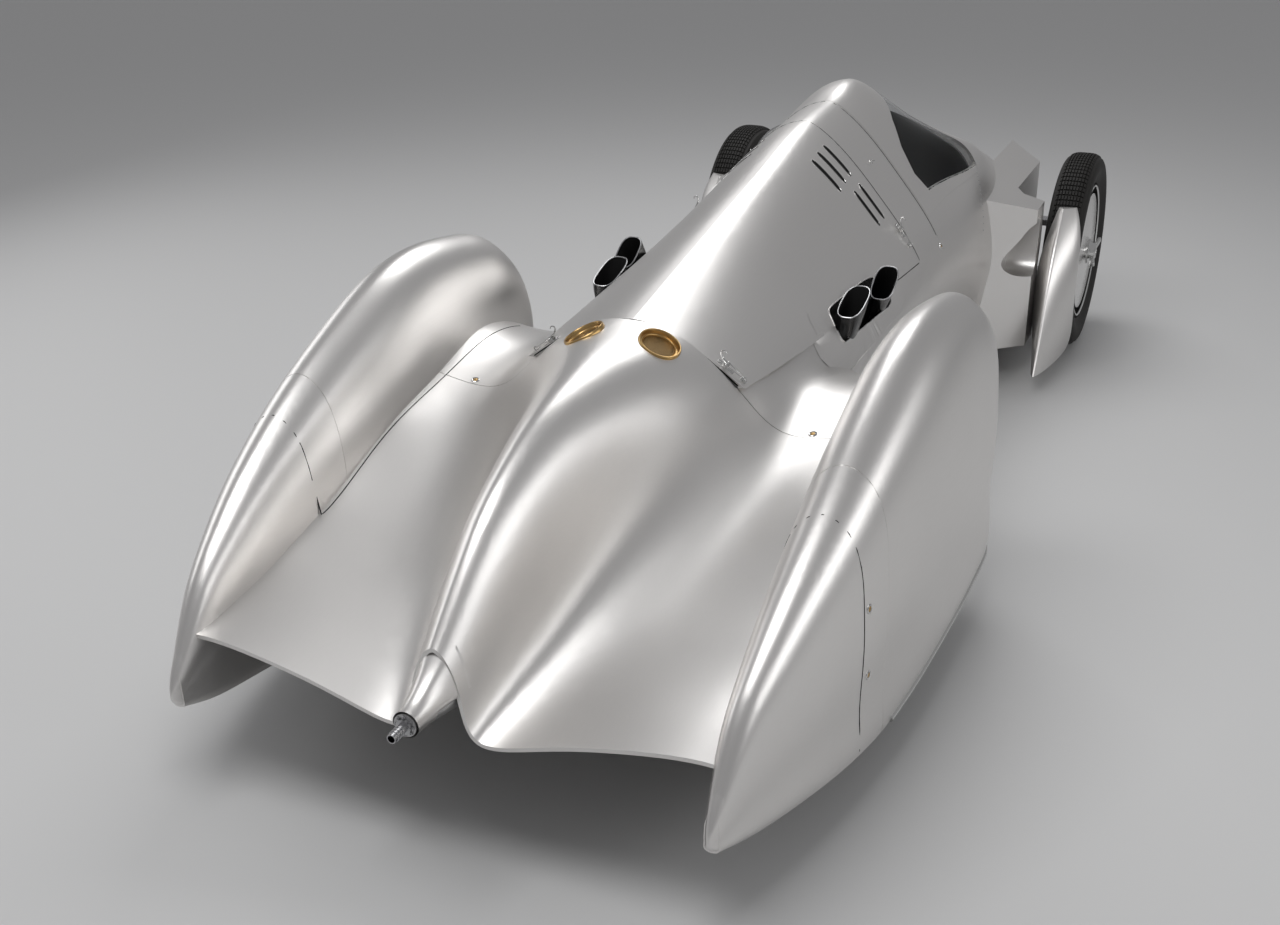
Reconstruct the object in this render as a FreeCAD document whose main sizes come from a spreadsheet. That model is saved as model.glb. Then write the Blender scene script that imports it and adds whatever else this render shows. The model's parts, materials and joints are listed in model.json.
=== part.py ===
"""Streamlined 1930s record car: closed cockpit, engine behind the driver, enclosed rear wheels.

Millimetres. +X points to the nose, +Y to the car's left, +Z up. The origin is on the floor,
below the middle of the car.
"""
import FreeCAD, Part
import math
import os
import Sketcher
from FreeCAD import Placement, Rotation, Vector

doc = FreeCAD.newDocument("record_car")
sheet = doc.addObject("Spreadsheet::Sheet", "Sizes")

# Driving sizes in millimetres, and angles in degrees.
SIZES = {
    "front_axle_x": 1753,
    "wheelbase": 2800,
    "track": 1420,
    "front_tyre_radius": 390,
    "front_tyre_width": 140,
    "front_rim_radius": 232,
    "rear_tyre_radius": 435,
    "rear_tyre_width": 168,
    "rear_rim_radius": 250,
    "rim_wall": 9,
    "disc_wall": 7,
    "hub_radius": 46,
    "stub_radius": 22,
    "running_clearance": 0.05,
    "nut_radius": 30,
    "nut_length": 34,
    "kingpin_offset": 92,
    "kingpin_radius": 24,
    "kingpin_height": 190,
    "skin": 12,
    "glass": 5,
    "seam": 2.0,
    "seat_gap": 0.3,
    "floor_split": 230,
    "cover_front_x": 310,
    "cover_rear_x": -1050,
    "cover_edge_front": 722,
    "cover_edge_rear": 767,
    "canopy_rear_x": 560,
    "canopy_front_x": 1085,
    "roof_front_x": 905,
    "sill_rear": 800,
    "sill_front": 850,
    "cowl_rear_x": 1010,
    "side_rear_x": -575,
    "deck_edge_x": -2105,
    "deck_front_x": -490,
    "deck_skin": 10,
    "cover_seam_x": -1520,
    "pod_floor": 165,
    "boss_z": 405,
    "boss_root_x": -2075,
    "boss_end_x": -2232,
    "boss_root_radius": 54,
    "boss_end_radius": 27,
    "shaft_radius": 11,
    "shaft_body_radius": 18,
    "shaft_free": 45,
    "axle_radius": 34,
    "axle_end": 60,
    "shaft_tip_x": -2285,
}

# Hull stations from the tail to the intake: place, crest, half width, shoulder, belly, fullness.
# Fullness runs from 0, a bell with straight flanks, to 1, a full rounded dome.
HULL = {
    "tail": (-1050, 914, 430, 600, 175, 0.25),
    "engine": (-600, 993, 442, 610, 160, 0.12),
    "carburettor": (-100, 1081, 450, 630, 150, 0.0),
    "hood": (310, 1153, 452, 640, 145, 0.0),
    "neck": (560, 1170, 456, 640, 140, 0.0),
    "roof": (850, 1192, 474, 630, 135, 0.12),
    "screen": (1085, 1045, 492, 600, 130, 0.85),
    "axle": (1500, 905, 470, 560, 130, 0.85),
    "nose": (1900, 765, 400, 500, 140, 0.8),
    "snout": (2160, 640, 268, 450, 190, 0.8),
    "mouth": (2285, 556, 146, 430, 292, 0.8),
}
HULL_SIZES = ("x", "crest", "half_width", "shoulder", "belly", "fullness")

# Rear pod stations from the nose to the tail tip: place, crest, inner side, outer side, bottom.
POD = {
    "tip": (-372, 560, 690, 745, 430),
    "brow": (-420, 775, 630, 822, 270),
    "front": (-520, 890, 602, 862, 140),
    "shoulder": (-760, 972, 592, 872, 60),
    "wheel": (-1047, 985, 590, 866, 50),
    "flank": (-1350, 895, 592, 850, 60),
    "rear": (-1650, 765, 604, 818, 100),
    "taper": (-1900, 622, 618, 765, 160),
    "tail": (-2080, 470, 632, 712, 205),
    "end": (-2172, 330, 648, 682, 240),
}
POD_SIZES = ("x", "crest", "inner", "outer", "bottom")


def fill_sheet():
    rows = dict(SIZES)
    for station, values in HULL.items():
        for what, value in zip(HULL_SIZES, values):
            rows["hull_" + station + "_" + what] = value
    for station, values in POD.items():
        for what, value in zip(POD_SIZES, values):
            rows["pod_" + station + "_" + what] = value
    for row, (name, value) in enumerate(rows.items(), start=1):
        sheet.set("A%d" % row, name)
        sheet.set("B%d" % row, str(value))
        sheet.setAlias("B%d" % row, name)
    doc.recompute()


fill_sheet()


def size(name):
    return float(getattr(sheet, name))


def stations(group, names, words):
    return [[size(group + "_" + name + "_" + word) for word in words] for name in names]


SKIN = size("skin")
SEAM = size("seam")
FAR = 3000.0
front_x = size("front_axle_x")
rear_x = front_x - size("wheelbase")
wheel_y = size("track") / 2
kingpin_y = wheel_y - size("kingpin_offset")


# Curves and solids

def knots_along(points):
    """A spline's parameters, from 0 to 1, in step with the length between its points."""
    knots = [0.0]
    for before, after in zip(points, points[1:]):
        knots.append(knots[-1] + (after - before).Length)
    return [knot / knots[-1] for knot in knots]


def closed_spline(points, knots=None):
    curve = Part.BSplineCurve()
    shared = knots or knots_along(points + points[:1])
    curve.interpolate(Points=points, Parameters=shared, PeriodicFlag=True)
    return Part.Wire(curve.toShape())


def open_spline(points, knots=None):
    curve = Part.BSplineCurve()
    curve.interpolate(Points=points, Parameters=knots or knots_along(points))
    return curve.toShape()


def closed_loft(sections):
    """A solid through closed sections, which share the knots of the middle one."""
    middle = sections[len(sections) // 2]
    knots = knots_along(middle + middle[:1])
    return Part.makeLoft([closed_spline(points, knots) for points in sections], True, False)


def between(rows, x):
    """A smooth value for each column of the station rows at x, which is the first column."""
    gaps = [after[0] - before[0] for before, after in zip(rows, rows[1:])]
    index = max([number for number in range(len(gaps)) if rows[number][0] <= x], default=0)
    share = (x - rows[index][0]) / gaps[index]
    values = [x]
    for column in range(1, len(rows[0])):
        steps = [(after[column] - before[column]) / gap for before, after, gap in zip(rows, rows[1:], gaps)]
        slopes = [steps[0]] + [
            (left * gap_right + right * gap_left) / (gap_left + gap_right)
            for left, right, gap_left, gap_right in zip(steps, steps[1:], gaps, gaps[1:])] + [steps[-1]]
        start, end = rows[index][column], rows[index + 1][column]
        lean_start, lean_end = slopes[index] * gaps[index], slopes[index + 1] * gaps[index]
        values.append(start * (1 + 2 * share) * (1 - share) ** 2 + lean_start * share * (1 - share) ** 2
                      + end * share ** 2 * (3 - 2 * share) + lean_end * share ** 2 * (share - 1))
    return values


def box(x0, x1, y0, y1, z0, z1):
    return Part.makeBox(x1 - x0, y1 - y0, z1 - z0, Vector(x0, y0, z0))


def side_prism(outline, y0, y1):
    """A solid whose side view is the outline, a list of (x, z)."""
    corners = [Vector(x, y0, z) for x, z in outline]
    face = Part.Face(Part.makePolygon(corners + corners[:1]))
    return face.extrude(Vector(0, y1 - y0, 0))


def smooth_prism(outline, y0, y1):
    """The same with a smooth closed curve through the outline's points."""
    face = Part.Face(closed_spline([Vector(x, y0, z) for x, z in outline]))
    return face.extrude(Vector(0, y1 - y0, 0))


def mirrored(shape):
    return shape.mirror(Vector(0, 0, 0), Vector(0, 1, 0))


def add_shape(label, shape):
    feature = doc.addObject("Part::Feature", label)
    feature.Label = label
    feature.Shape = shape.removeSplitter() if shape.ShapeType == "Compound" else shape
    feature.Placement = Placement()
    return feature


def largest(shape):
    return max(shape.Solids, key=lambda solid: solid.Volume)


def surface_z(solid, x, y):
    line = Part.makeLine(Vector(x, y, 0), Vector(x, y, FAR))
    return line.common(solid).BoundBox.ZMax


# Hull

BELL = ((0.0, 1.0), (0.15, 0.955), (0.32, 0.835), (0.62, 0.545), (0.87, 0.26))
DOME_POWER = 2.6
BILGE = ((1.0, 0.0), (0.985, 0.45), (0.92, 0.74), (0.75, 0.92), (0.40, 0.99))


def hull_points(values, inset):
    x, crest, half_width, shoulder, belly, fullness = values
    half = half_width - inset
    rise = crest - inset - shoulder
    drop = shoulder - belly - inset
    upper = []
    for across, bell in BELL:
        dome = (1 - across ** DOME_POWER) ** (1 / DOME_POWER)
        upper.append((across * half, shoulder + rise * (bell + fullness * (dome - bell))))
    lower = [(across * half, shoulder - down * drop) for across, down in BILGE]
    left = upper + lower
    right = [(-y, z) for y, z in reversed(left[1:])]
    keel = [(0.0, shoulder - drop)]
    return [Vector(x, y, z) for y, z in left + keel + right]


HULL_SECTIONS = 25


def hull_solid(inset):
    rows = stations("hull", HULL, HULL_SIZES)
    first, last = rows[0][0], rows[-1][0]
    places = [first + (last - first) * number / (HULL_SECTIONS - 1) for number in range(HULL_SECTIONS)]
    return closed_loft([hull_points(between(rows, x), inset) for x in places])


hull = hull_solid(0)
hull_core = hull_solid(SKIN)
hull_glass_core = hull_solid(size("glass"))
hull_shell = hull.cut(hull_core)
glass_shell = hull.cut(hull_glass_core)


def front_axle_solid():
    """Two cross tubes, with a yoke at each end that holds the kingpin between its ears."""
    front_z = size("front_tyre_radius")
    tubes = []
    half = size("kingpin_height") / 2
    for z in (front_z + half - 45, front_z - half + 45):
        tubes.append(Part.makeCylinder(38, 2 * 500, Vector(front_x + 10, -500, z), Vector(0, 1, 0)))
    yokes = []
    for side in (1, -1):
        for z in (front_z + half + 0.3, front_z - half - 0.3 - 24):
            low, high = sorted((side * 500, side * (kingpin_y + 26)))
            yokes.append(box(front_x - 30, front_x + 30, low, high, z, z + 24))
        low, high = sorted((side * 470, side * 500))
        yokes.append(box(front_x - 50, front_x + 60, low, high, front_z - half - 24.3, front_z + half + 24.3))
    axle = tubes[0].multiFuse(tubes[1:] + yokes)
    return axle


front_axle = front_axle_solid()


def cover_edge_z(x):
    front, rear = size("cover_front_x"), size("cover_rear_x")
    share = (x - rear) / (front - rear)
    return size("cover_edge_rear") + share * (size("cover_edge_front") - size("cover_edge_rear"))


def above_cover_edge(gap, side_gap):
    """Everything above the engine cover's lower edge, between its two end seams."""
    rear = size("cover_rear_x") + side_gap
    front = size("cover_front_x") - side_gap
    low = [(rear, cover_edge_z(rear) + gap), (front, cover_edge_z(front) + gap)]
    return side_prism(low + [(front, FAR), (rear, FAR)], -FAR, FAR)


# Tail deck and shoulders: half sections from the crest out to inside the pods.
DECK_HALF = 680
DECK = (
    (-2150, ((0, 480), (34, 446), (58, 365), (110, 286), (280, 337), (450, 378), (DECK_HALF, 392))),
    (-1850, ((0, 737), (45, 702), (86, 590), (160, 412), (330, 405), (480, 432), (DECK_HALF, 450))),
    (-1600, ((0, 845), (56, 812), (112, 702), (200, 520), (360, 474), (500, 497), (DECK_HALF, 530))),
    (-1330, ((0, 892), (74, 868), (154, 778), (262, 625), (400, 567), (510, 588), (DECK_HALF, 640))),
    (-1050, ((0, 914), (100, 900), (222, 828), (322, 735), (415, 665), (510, 662), (DECK_HALF, 700))),
    (-800, ((0, 960), (120, 915), (240, 832), (338, 742), (425, 700), (520, 705), (DECK_HALF, 750))),
    (-600, ((0, 985), (130, 925), (260, 832), (352, 738), (430, 672), (520, 665), (DECK_HALF, 700))),
    (-480, ((0, 990), (130, 925), (260, 825), (355, 715), (430, 630), (520, 605), (DECK_HALF, 610))),
)


def offset_line(points, distance):
    """Each point moved down along the line's own normal, so that the sheet keeps its thickness."""
    moved = []
    last = len(points) - 1
    for index, (y, z) in enumerate(points):
        before = points[max(index - 1, 0)]
        after = points[min(index + 1, last)]
        run = math.hypot(after[0] - before[0], after[1] - before[1])
        slope_y = (after[0] - before[0]) / run
        slope_z = (after[1] - before[1]) / run
        moved.append((y + slope_z * distance, z - slope_y * distance))
    return moved


DECK_SECTIONS = 15


def deck_lines(x, half):
    top = [(-y, z) for y, z in reversed(half[1:])] + list(half)
    bottom = offset_line(top, size("deck_skin"))
    return [Vector(x, y, z) for y, z in top], [Vector(x, y, z) for y, z in bottom]


def deck_solid():
    rows = [[x] + [value for point in half for value in point] for x, half in DECK]
    first, last = rows[0][0], rows[-1][0]
    places = [first + (last - first) * number / (DECK_SECTIONS - 1) for number in range(DECK_SECTIONS)]
    lines = []
    for x in places:
        values = between(rows, x)[1:]
        lines.append(deck_lines(x, list(zip(values[0::2], values[1::2]))))
    knots = knots_along(lines[DECK_SECTIONS // 2][0])
    wires = []
    for upper, lower in lines:
        wires.append(Part.Wire([
            open_spline(upper, knots),
            Part.makeLine(upper[-1], lower[-1]),
            open_spline(list(reversed(lower)), [1 - knot for knot in reversed(knots)]),
            Part.makeLine(lower[0], upper[0]),
        ]))
    return Part.makeLoft(wires, True, False)


deck_sheet = deck_solid()


# Rear pods

POD_ARCH = ((0.0, 0.0), (0.03, 0.42), (0.12, 0.74), (0.30, 0.94), (0.50, 1.0),
            (0.71, 0.945), (0.89, 0.76), (0.975, 0.42), (1.0, 0.0))
POD_BASE = ((0.995, 0.5), (0.955, 0.86), (0.5, 1.0), (0.045, 0.86), (0.005, 0.5))
POD_WAIST = 0.48


POD_SECTIONS = 19


def pod_points(values, inset):
    x, crest, inner, outer, bottom = values
    inner, outer, crest, bottom = inner + inset, outer - inset, crest - inset, bottom + inset
    waist = bottom + (crest - bottom) * POD_WAIST
    wide = outer - inner
    arch = [(inner + wide * across, waist + (crest - waist) * up) for across, up in POD_ARCH]
    base = [(inner + wide * across, waist - (waist - bottom) * down) for across, down in POD_BASE]
    return [Vector(x, y, z) for y, z in arch + base]


def pod_solid(inset):
    """Sections lie close together at the nose and the tail, which makes both ends round."""
    rows = stations("pod", reversed(list(POD)), POD_SIZES)
    first, last = rows[0][0] + inset, rows[-1][0] - inset
    middle, reach = (first + last) / 2, (last - first) / 2
    turns = [math.pi * number / (POD_SECTIONS - 1) for number in range(POD_SECTIONS)]
    return closed_loft([pod_points(between(rows, middle - reach * math.cos(turn)), inset) for turn in turns])


pod = pod_solid(0)
pod_core = pod_solid(SKIN)


def lower_edge():
    """The space below a pod's lower edge, which rises to the tail."""
    low = size("pod_floor")
    return side_prism([(-300, -500), (-300, low + 40), (-700, low), (-1500, low - 10),
                       (-2300, low + 75), (-2300, -500)], 0, FAR)


pod_shell = pod.cut(pod_core).cut(lower_edge())


def rear_axle_tube(gap):
    reach = wheel_y - size("axle_end")
    return Part.makeCylinder(size("axle_radius") + gap, 2 * reach,
                             Vector(rear_x, -reach, size("rear_tyre_radius")), Vector(0, 1, 0))


def build_pods():
    seam_x = size("cover_seam_x")
    front = pod_shell.common(box(seam_x + SEAM / 2, FAR, 0, FAR, -FAR, FAR))
    front = largest(front.cut(rear_axle_tube(size("seat_gap"))))
    rear = pod_shell.common(box(-FAR, seam_x - SEAM / 2, 0, FAR, -FAR, FAR))
    for label, shape in (("fender_cover_left", front), ("fender_cover_right", mirrored(front))):
        add_shape(label, shape)
    return largest(rear)


def build_tail(pod_tail):
    region = box(size("deck_edge_x"), size("cover_rear_x") - SEAM, -FAR, FAR, 0, FAR)
    seam_x = size("cover_seam_x")
    deck = deck_sheet.common(region).cut(pod).cut(mirrored(pod))
    deck = largest(deck)
    tail = deck
    for side in (pod_tail, mirrored(pod_tail)):
        tail = tail.fuse(side)
    tail = tail.cut(tail_fittings())
    add_shape("tail_shell", tail)
    return deck


CAP_PLACE = (-1122, 108)
CAP_RADIUS = 58


def cap_axis():
    return Vector(-0.12, 0.42, 0.9)


def cap_solid(radius, low, high, side):
    x, y = CAP_PLACE
    axis = cap_axis()
    axis.normalize()
    start = Vector(x, y, surface_z(deck_sheet, x, y)) + axis * low
    shape = Part.makeCylinder(radius, high - low, start, axis)
    return shape if side > 0 else mirrored(shape)


def boss_cone(gap):
    """The boss grows out of the fin's end and narrows to its flange."""
    root_x, end_x = size("boss_root_x"), size("boss_end_x")
    return Part.makeCone(size("boss_root_radius") + gap, size("boss_end_radius") - 5 + gap, root_x - end_x,
                         Vector(root_x, 0, size("boss_z")), Vector(-1, 0, 0))


def tail_fittings():
    wells = [cap_solid(CAP_RADIUS, -60, 60, side) for side in (1, -1)]
    return wells[0].fuse(wells[1]).fuse(boss_cone(size("seat_gap")))


def build_caps():
    caps = []
    for side in (1, -1):
        dish = cap_solid(CAP_RADIUS - size("seat_gap"), -24, -6, side)
        caps.append(dish.cut(cap_solid(CAP_RADIUS - 9, -17, 10, side)))
    add_shape("filler_caps", Part.makeCompound(caps))


def left_side(shape):
    return largest(Part.makeCompound([solid for solid in shape.Solids if solid.BoundBox.YMin > 0]))


def build_shoulders():
    region = box(size("cover_rear_x"), size("deck_front_x"), -FAR, FAR, 0, FAR)
    hull_front = hull.common(box(size("side_rear_x"), FAR, -FAR, FAR, -FAR, FAR))
    centre = box(-FAR, FAR, -250, 250, -FAR, FAR)
    shape = deck_sheet.cut(centre).common(region)
    for cutter in (pod, mirrored(pod), hull_front, above_cover_edge(0, -5)):
        shape = shape.cut(cutter)
    panel = left_side(shape)
    add_shape("shoulder_panel_left", panel)
    add_shape("shoulder_panel_right", mirrored(panel))


def oval_tube(start, axis, length, half_long, half_short):
    section = Part.Ellipse(Vector(0, 0, 0), half_long, half_short)
    wire = Part.Wire(section.toShape())
    tube = Part.Face(wire).extrude(Vector(0, 0, length))
    tube.Placement = Placement(start, Rotation(Vector(0, 0, 1), axis))
    return tube


EXHAUST_PLACES = (-60, -400)


def exhaust_tubes(grow):
    tubes = []
    for x in EXHAUST_PLACES:
        low = Vector(x + 110, 395, 640)
        axis = Vector(x - 60, 432, 815) - low
        tubes.append(oval_tube(low, axis, axis.Length, 62 + grow, 34 + grow))
    return tubes


def build_exhausts():
    left = Part.makeCompound([outer.cut(inner) for outer, inner in zip(exhaust_tubes(0), exhaust_tubes(-6))])
    add_shape("exhaust_left", left)
    add_shape("exhaust_right", mirrored(left))


EXHAUST_NOTCH = ((-585, 600), (-585, 700), (-520, 800), (60, 790), (60, 700), (20, 655), (-540, 640))


def notch():
    return side_prism(EXHAUST_NOTCH, 0, FAR).fuse(side_prism(EXHAUST_NOTCH, -FAR, 0))


def build_cover():
    zone = above_cover_edge(size("seat_gap"), SEAM / 2)
    cover = hull_shell.common(zone).cut(notch())
    slots = []
    for x, y0, y1 in LOUVRES:
        for side in (1, -1):
            low, high = sorted((side * y0, side * y1))
            slots.append(box(x, x + 11, low, high, 700, FAR))
    cover = cover.cut(Part.makeCompound(slots))
    add_shape("engine_cover", largest(cover))


LOUVRES = ((225, 100, 198), (165, 100, 198), (105, 102, 202), (232, 222, 312), (175, 224, 314))


def canopy_zone(gap, side_gap):
    """Everything above the sill between the rear seam and the cowl's rim."""
    rear = size("canopy_rear_x") + side_gap
    front = size("canopy_front_x") - side_gap
    low = [(rear, size("sill_rear") + gap), (front, size("sill_front") + gap)]
    return side_prism(low + [(front, FAR), (rear, FAR)], -FAR, FAR)


def glass_zone():
    """The clear part of the cockpit, seen from the side."""
    front = size("canopy_front_x") + 200
    roof = size("roof_front_x")
    sill = size("sill_rear") + 62
    outline = [(front, sill + 10), (690, sill), (665, sill + 60), (700, sill + 140), (770, sill + 215),
               (roof - 50, sill + 272), (roof, sill + 330), (roof, FAR), (front, FAR)]
    return side_prism(outline, -FAR, FAR)


def build_canopy():
    zone = canopy_zone(size("seat_gap"), SEAM / 2)
    metal = largest(hull_shell.common(zone).cut(glass_zone()))
    add_shape("canopy", metal)
    clear = glass_shell.common(zone).common(glass_zone()).cut(metal)
    add_shape("windscreen", largest(clear))


def build_hull_panels():
    split = size("floor_split")
    cowl_x = size("cowl_rear_x")
    ring = hull_shell.common(box(size("cover_front_x") + SEAM / 2, size("canopy_rear_x") - SEAM / 2,
                                 -FAR, FAR, cover_edge_z(size("cover_front_x")), FAR))
    add_shape("body_ring", largest(ring))
    nose = hull_shell.common(box(cowl_x, FAR, -FAR, FAR, -FAR, FAR))
    nose = nose.cut(canopy_zone(0, -SEAM / 2)).cut(front_axle)
    add_shape("nose_cowl", largest(nose))
    floor = hull_shell.common(box(size("cover_rear_x"), cowl_x, -FAR, FAR, 0, split))
    add_shape("undertray", largest(floor))
    side = hull_shell.common(box(size("side_rear_x"), cowl_x, 0, FAR, split, FAR))
    ring_zone = box(size("cover_front_x"), size("canopy_rear_x"), -FAR, FAR,
                    cover_edge_z(size("cover_front_x")), FAR)
    side = side.cut(above_cover_edge(0, 0)).cut(ring_zone).cut(canopy_zone(0, 0)).cut(notch())
    for tube in exhaust_tubes(size("seat_gap")):
        side = side.cut(tube)
    side = largest(side)
    add_shape("side_panel_left", side)
    add_shape("side_panel_right", mirrored(side))


def hull_filler(x0, x1, z0, z1, gap):
    """A slab that fills the hull's inside between two stations and two heights."""
    inner = hull_solid(SKIN + gap)
    return largest(inner.common(box(x0, x1, -FAR, FAR, z0, z1)))


def build_inside():
    gap = size("seat_gap")
    ring_x = size("cover_front_x")
    bulkhead = hull_filler(ring_x + 60, ring_x + 72, 0, FAR, gap)
    add_shape("bulkhead", bulkhead)
    dash = hull_filler(1030, 1042, 560, FAR, gap)
    add_shape("dashboard", dash)


GEARBOX_X = -1330
GEARBOX_TAIL_X = -1530


def build_engine():
    gap = size("seat_gap")
    bay = hull_solid(SKIN + gap)
    crank = box(-690, 60, -130, 130, 0, 520).common(bay)
    bank = box(-660, 30, -70, 70, 0, 300)
    banks = []
    for side in (1, -1):
        turned = bank.copy()
        turned.Placement = Placement(Vector(0, 0, 430), Rotation(Vector(1, 0, 0), -side * 22.5))
        banks.append(turned)
    blower = Part.makeCylinder(75, 330, Vector(-640, 0, 700), Vector(1, 0, 0))
    engine = crank.fuse(banks[0]).fuse(banks[1]).fuse(blower)
    add_shape("engine_block", engine)
    gear = box(-1330, -690 - gap, -120, 120, 230, 470)
    cone = Part.makeCone(120, 70, GEARBOX_X - GEARBOX_TAIL_X, Vector(GEARBOX_X, 0, 350), Vector(-1, 0, 0))
    add_shape("gearbox", gear.fuse(cone))


def build_grille():
    values = stations("hull", ["snout", "mouth"], HULL_SIZES)
    plate_x = size("hull_mouth_x") - 45
    plug = largest(hull_solid(SKIN + size("seat_gap")).common(box(plate_x, plate_x + 10, -FAR, FAR, 0, FAR)))
    bounds = plug.BoundBox
    pitch = 34
    bar = 10
    cuts = []
    y = -pitch * 6 + bar / 2
    while y < bounds.YMax:
        cuts.append(box(plate_x - 5, plate_x + 20, y, y + pitch - bar, bounds.ZMin + 14, bounds.ZMax - 14))
        y += pitch
    rim = hull_solid(SKIN + 14).common(box(plate_x - 5, plate_x + 20, -FAR, FAR, 0, FAR))
    grille = plug.cut(Part.makeCompound(cuts).common(rim))
    add_shape("grille", largest(grille))


def kingpin_ball(radius):
    return Part.makeSphere(radius, Vector(front_x, kingpin_y, size("front_tyre_radius")))


def build_front_fairings():
    plan = [Vector(1090, 380, 0), Vector(1105, 455, 0), Vector(1215, 640, 0), Vector(1352, 640, 0),
            Vector(1352, 560, 0), Vector(1400, 528, 0), Vector(1850, 528, 0), Vector(2010, 380, 0)]
    face = Part.Face(Part.makePolygon(plan + plan[:1]))
    block = face.extrude(Vector(0, 0, FAR))
    profile = side_section()
    block = block.common(profile)
    ball = kingpin_ball(size("front_tyre_radius") + 32)
    inner_ball = ball.cut(box(-FAR, FAR, -FAR, 536, -FAR, FAR))
    block = block.cut(inner_ball).cut(hull).cut(front_axle)
    hole = smooth_prism([(1160, 455), (1190, 430), (1250, 440), (1290, 560), (1290, 640), (1240, 650),
                         (1180, 560)], 530, 700)
    block = block.cut(hole)
    block = largest(block)
    add_shape("axle_fairing_left", block)
    add_shape("axle_fairing_right", mirrored(block))


def side_section():
    """The fairing's height falls outwards, and its lower edge stays level."""
    corners = [Vector(-FAR, 300, 120), Vector(-FAR, 300, 780), Vector(-FAR, 455, 735),
               Vector(-FAR, 660, 680), Vector(-FAR, 660, 150)]
    face = Part.Face(Part.makePolygon(corners + corners[:1]))
    return face.extrude(Vector(2 * FAR, 0, 0))


def build_wheel_fairings():
    half = size("front_tyre_width") / 2 + 4
    radius = size("front_tyre_radius")
    rows = ((80, 1075, 1500, 0.75), (200, 1140, 1440, 0.95), (400, 1230, 1400, 1.0), (560, 1330, 1440, 0.9),
            (648, 1405, 1470, 0.5))
    sections = []
    for z, rear, front, swell in rows:
        wide = half * swell
        points = [Vector(rear, wheel_y, z), Vector(rear + 0.3 * (front - rear), wheel_y + 0.62 * wide, z),
                  Vector(front, wheel_y + wide, z), Vector(front + 60, wheel_y, z),
                  Vector(front, wheel_y - wide, z),
                  Vector(rear + 0.3 * (front - rear), wheel_y - 0.62 * wide, z)]
        sections.append(points)
    body = closed_loft(sections)
    ball = kingpin_ball(radius + 32)
    shape = body.cut(ball)
    shape = shape.common(box(-FAR, front_x - 60, -FAR, FAR, 0, FAR))
    fairing = doc.getObject("axle_fairing_left").Shape
    shape = largest(shape.cut(fairing))
    add_shape("wheel_fairing_left", shape)
    add_shape("wheel_fairing_right", mirrored(shape))


# Turned pieces, as bodies with sketches bound to the sheet

def origin_plane(body, role):
    return next(item for item in body.Origin.OriginFeatures if item.Role == role)


def polygon_sketch(body, corners):
    """A closed polygon whose corners are pairs of expressions: radius from the axle and place along it."""
    sketch = body.newObject("Sketcher::SketchObject", body.Name + "_profile")
    sketch.AttachmentSupport = [(origin_plane(body, "XY_Plane"), "")]
    sketch.MapMode = "FlatFace"
    places = [[float(sheet.evalExpression(text)) for text in pair] for pair in corners]
    count = len(places)
    for index in range(count):
        start, end = places[index], places[(index + 1) % count]
        sketch.addGeometry(Part.LineSegment(Vector(start[0], start[1], 0), Vector(end[0], end[1], 0)))
    for index in range(count):
        sketch.addConstraint(Sketcher.Constraint("Coincident", index, 2, (index + 1) % count, 1))
    for index, pair in enumerate(corners):
        for kind, value, text in zip(("DistanceX", "DistanceY"), places[index], pair):
            number = sketch.addConstraint(Sketcher.Constraint(kind, -1, 1, index, 1, value))
            sketch.setExpression("Constraints[%d]" % number, text.replace("Sizes.", "<<Sizes>>."))
    return sketch


def turned_body(label, corners, place, turn=0):
    body = doc.addObject("PartDesign::Body", label)
    body.Label = label
    sketch = polygon_sketch(body, corners)
    revolution = body.newObject("PartDesign::Revolution", label + "_turn")
    revolution.Profile = sketch
    revolution.ReferenceAxis = (sketch, ["V_Axis"])
    revolution.Angle = 360
    body.Tip = revolution
    body.Placement = Placement(place, Rotation(Vector(0, 0, 1), turn))
    return body


def tyre_corners(end):
    radius, width, rim = ("Sizes.%s_tyre_radius" % end, "Sizes.%s_tyre_width" % end, "Sizes.%s_rim_radius" % end)
    half = ((rim, "0.37"), (rim + " + 14", "0.40"), ("%s * 0.55 + %s * 0.45" % (rim, radius), "0.5"),
            ("%s * 0.3 + %s * 0.7" % (rim, radius), "0.49"), ("%s - 24" % radius, "0.44"),
            ("%s - 7" % radius, "0.36"), (radius, "0.2"))
    outer = [(where, "%s * %s" % (width, share)) for where, share in half]
    inner = [(where, "-%s * %s" % (width, share)) for where, share in reversed(half)]
    return outer + inner


def wheel_corners(end):
    width, rim = "Sizes.%s_tyre_width" % end, "Sizes.%s_rim_radius" % end
    wall, disc = "Sizes.rim_wall", "Sizes.disc_wall"
    bore = "Sizes.stub_radius + Sizes.running_clearance"
    seat = "Sizes.seat_gap"
    barrel = "%s - %s" % (rim, seat)
    return [
        (barrel, "%s * 0.36" % width),
        (barrel, "-%s * 0.36" % width),
        ("%s - %s" % (barrel, wall), "-%s * 0.36" % width),
        ("%s - %s" % (barrel, wall), "%s * 0.36 - %s" % (width, disc)),
        ("Sizes.hub_radius", "%s * 0.44 - %s" % (width, disc)),
        ("Sizes.hub_radius", "-%s * 0.12" % width),
        (bore, "-%s * 0.12" % width),
        (bore, "%s * 0.44" % width),
        ("Sizes.nut_radius", "%s * 0.44" % width),
        ("Sizes.hub_radius + 20", "%s * 0.44" % width),
    ]


def build_wheels():
    for end, x in (("front", front_x), ("rear", rear_x)):
        for side, word, turn in ((1, "left", 0), (-1, "right", 180)):
            place = Vector(x, side * wheel_y, size(end + "_tyre_radius"))
            turned_body("%s_tyre_%s" % (end, word), tyre_corners(end), place, turn)
            turned_body("%s_wheel_%s" % (end, word), wheel_corners(end), place, turn)


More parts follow.
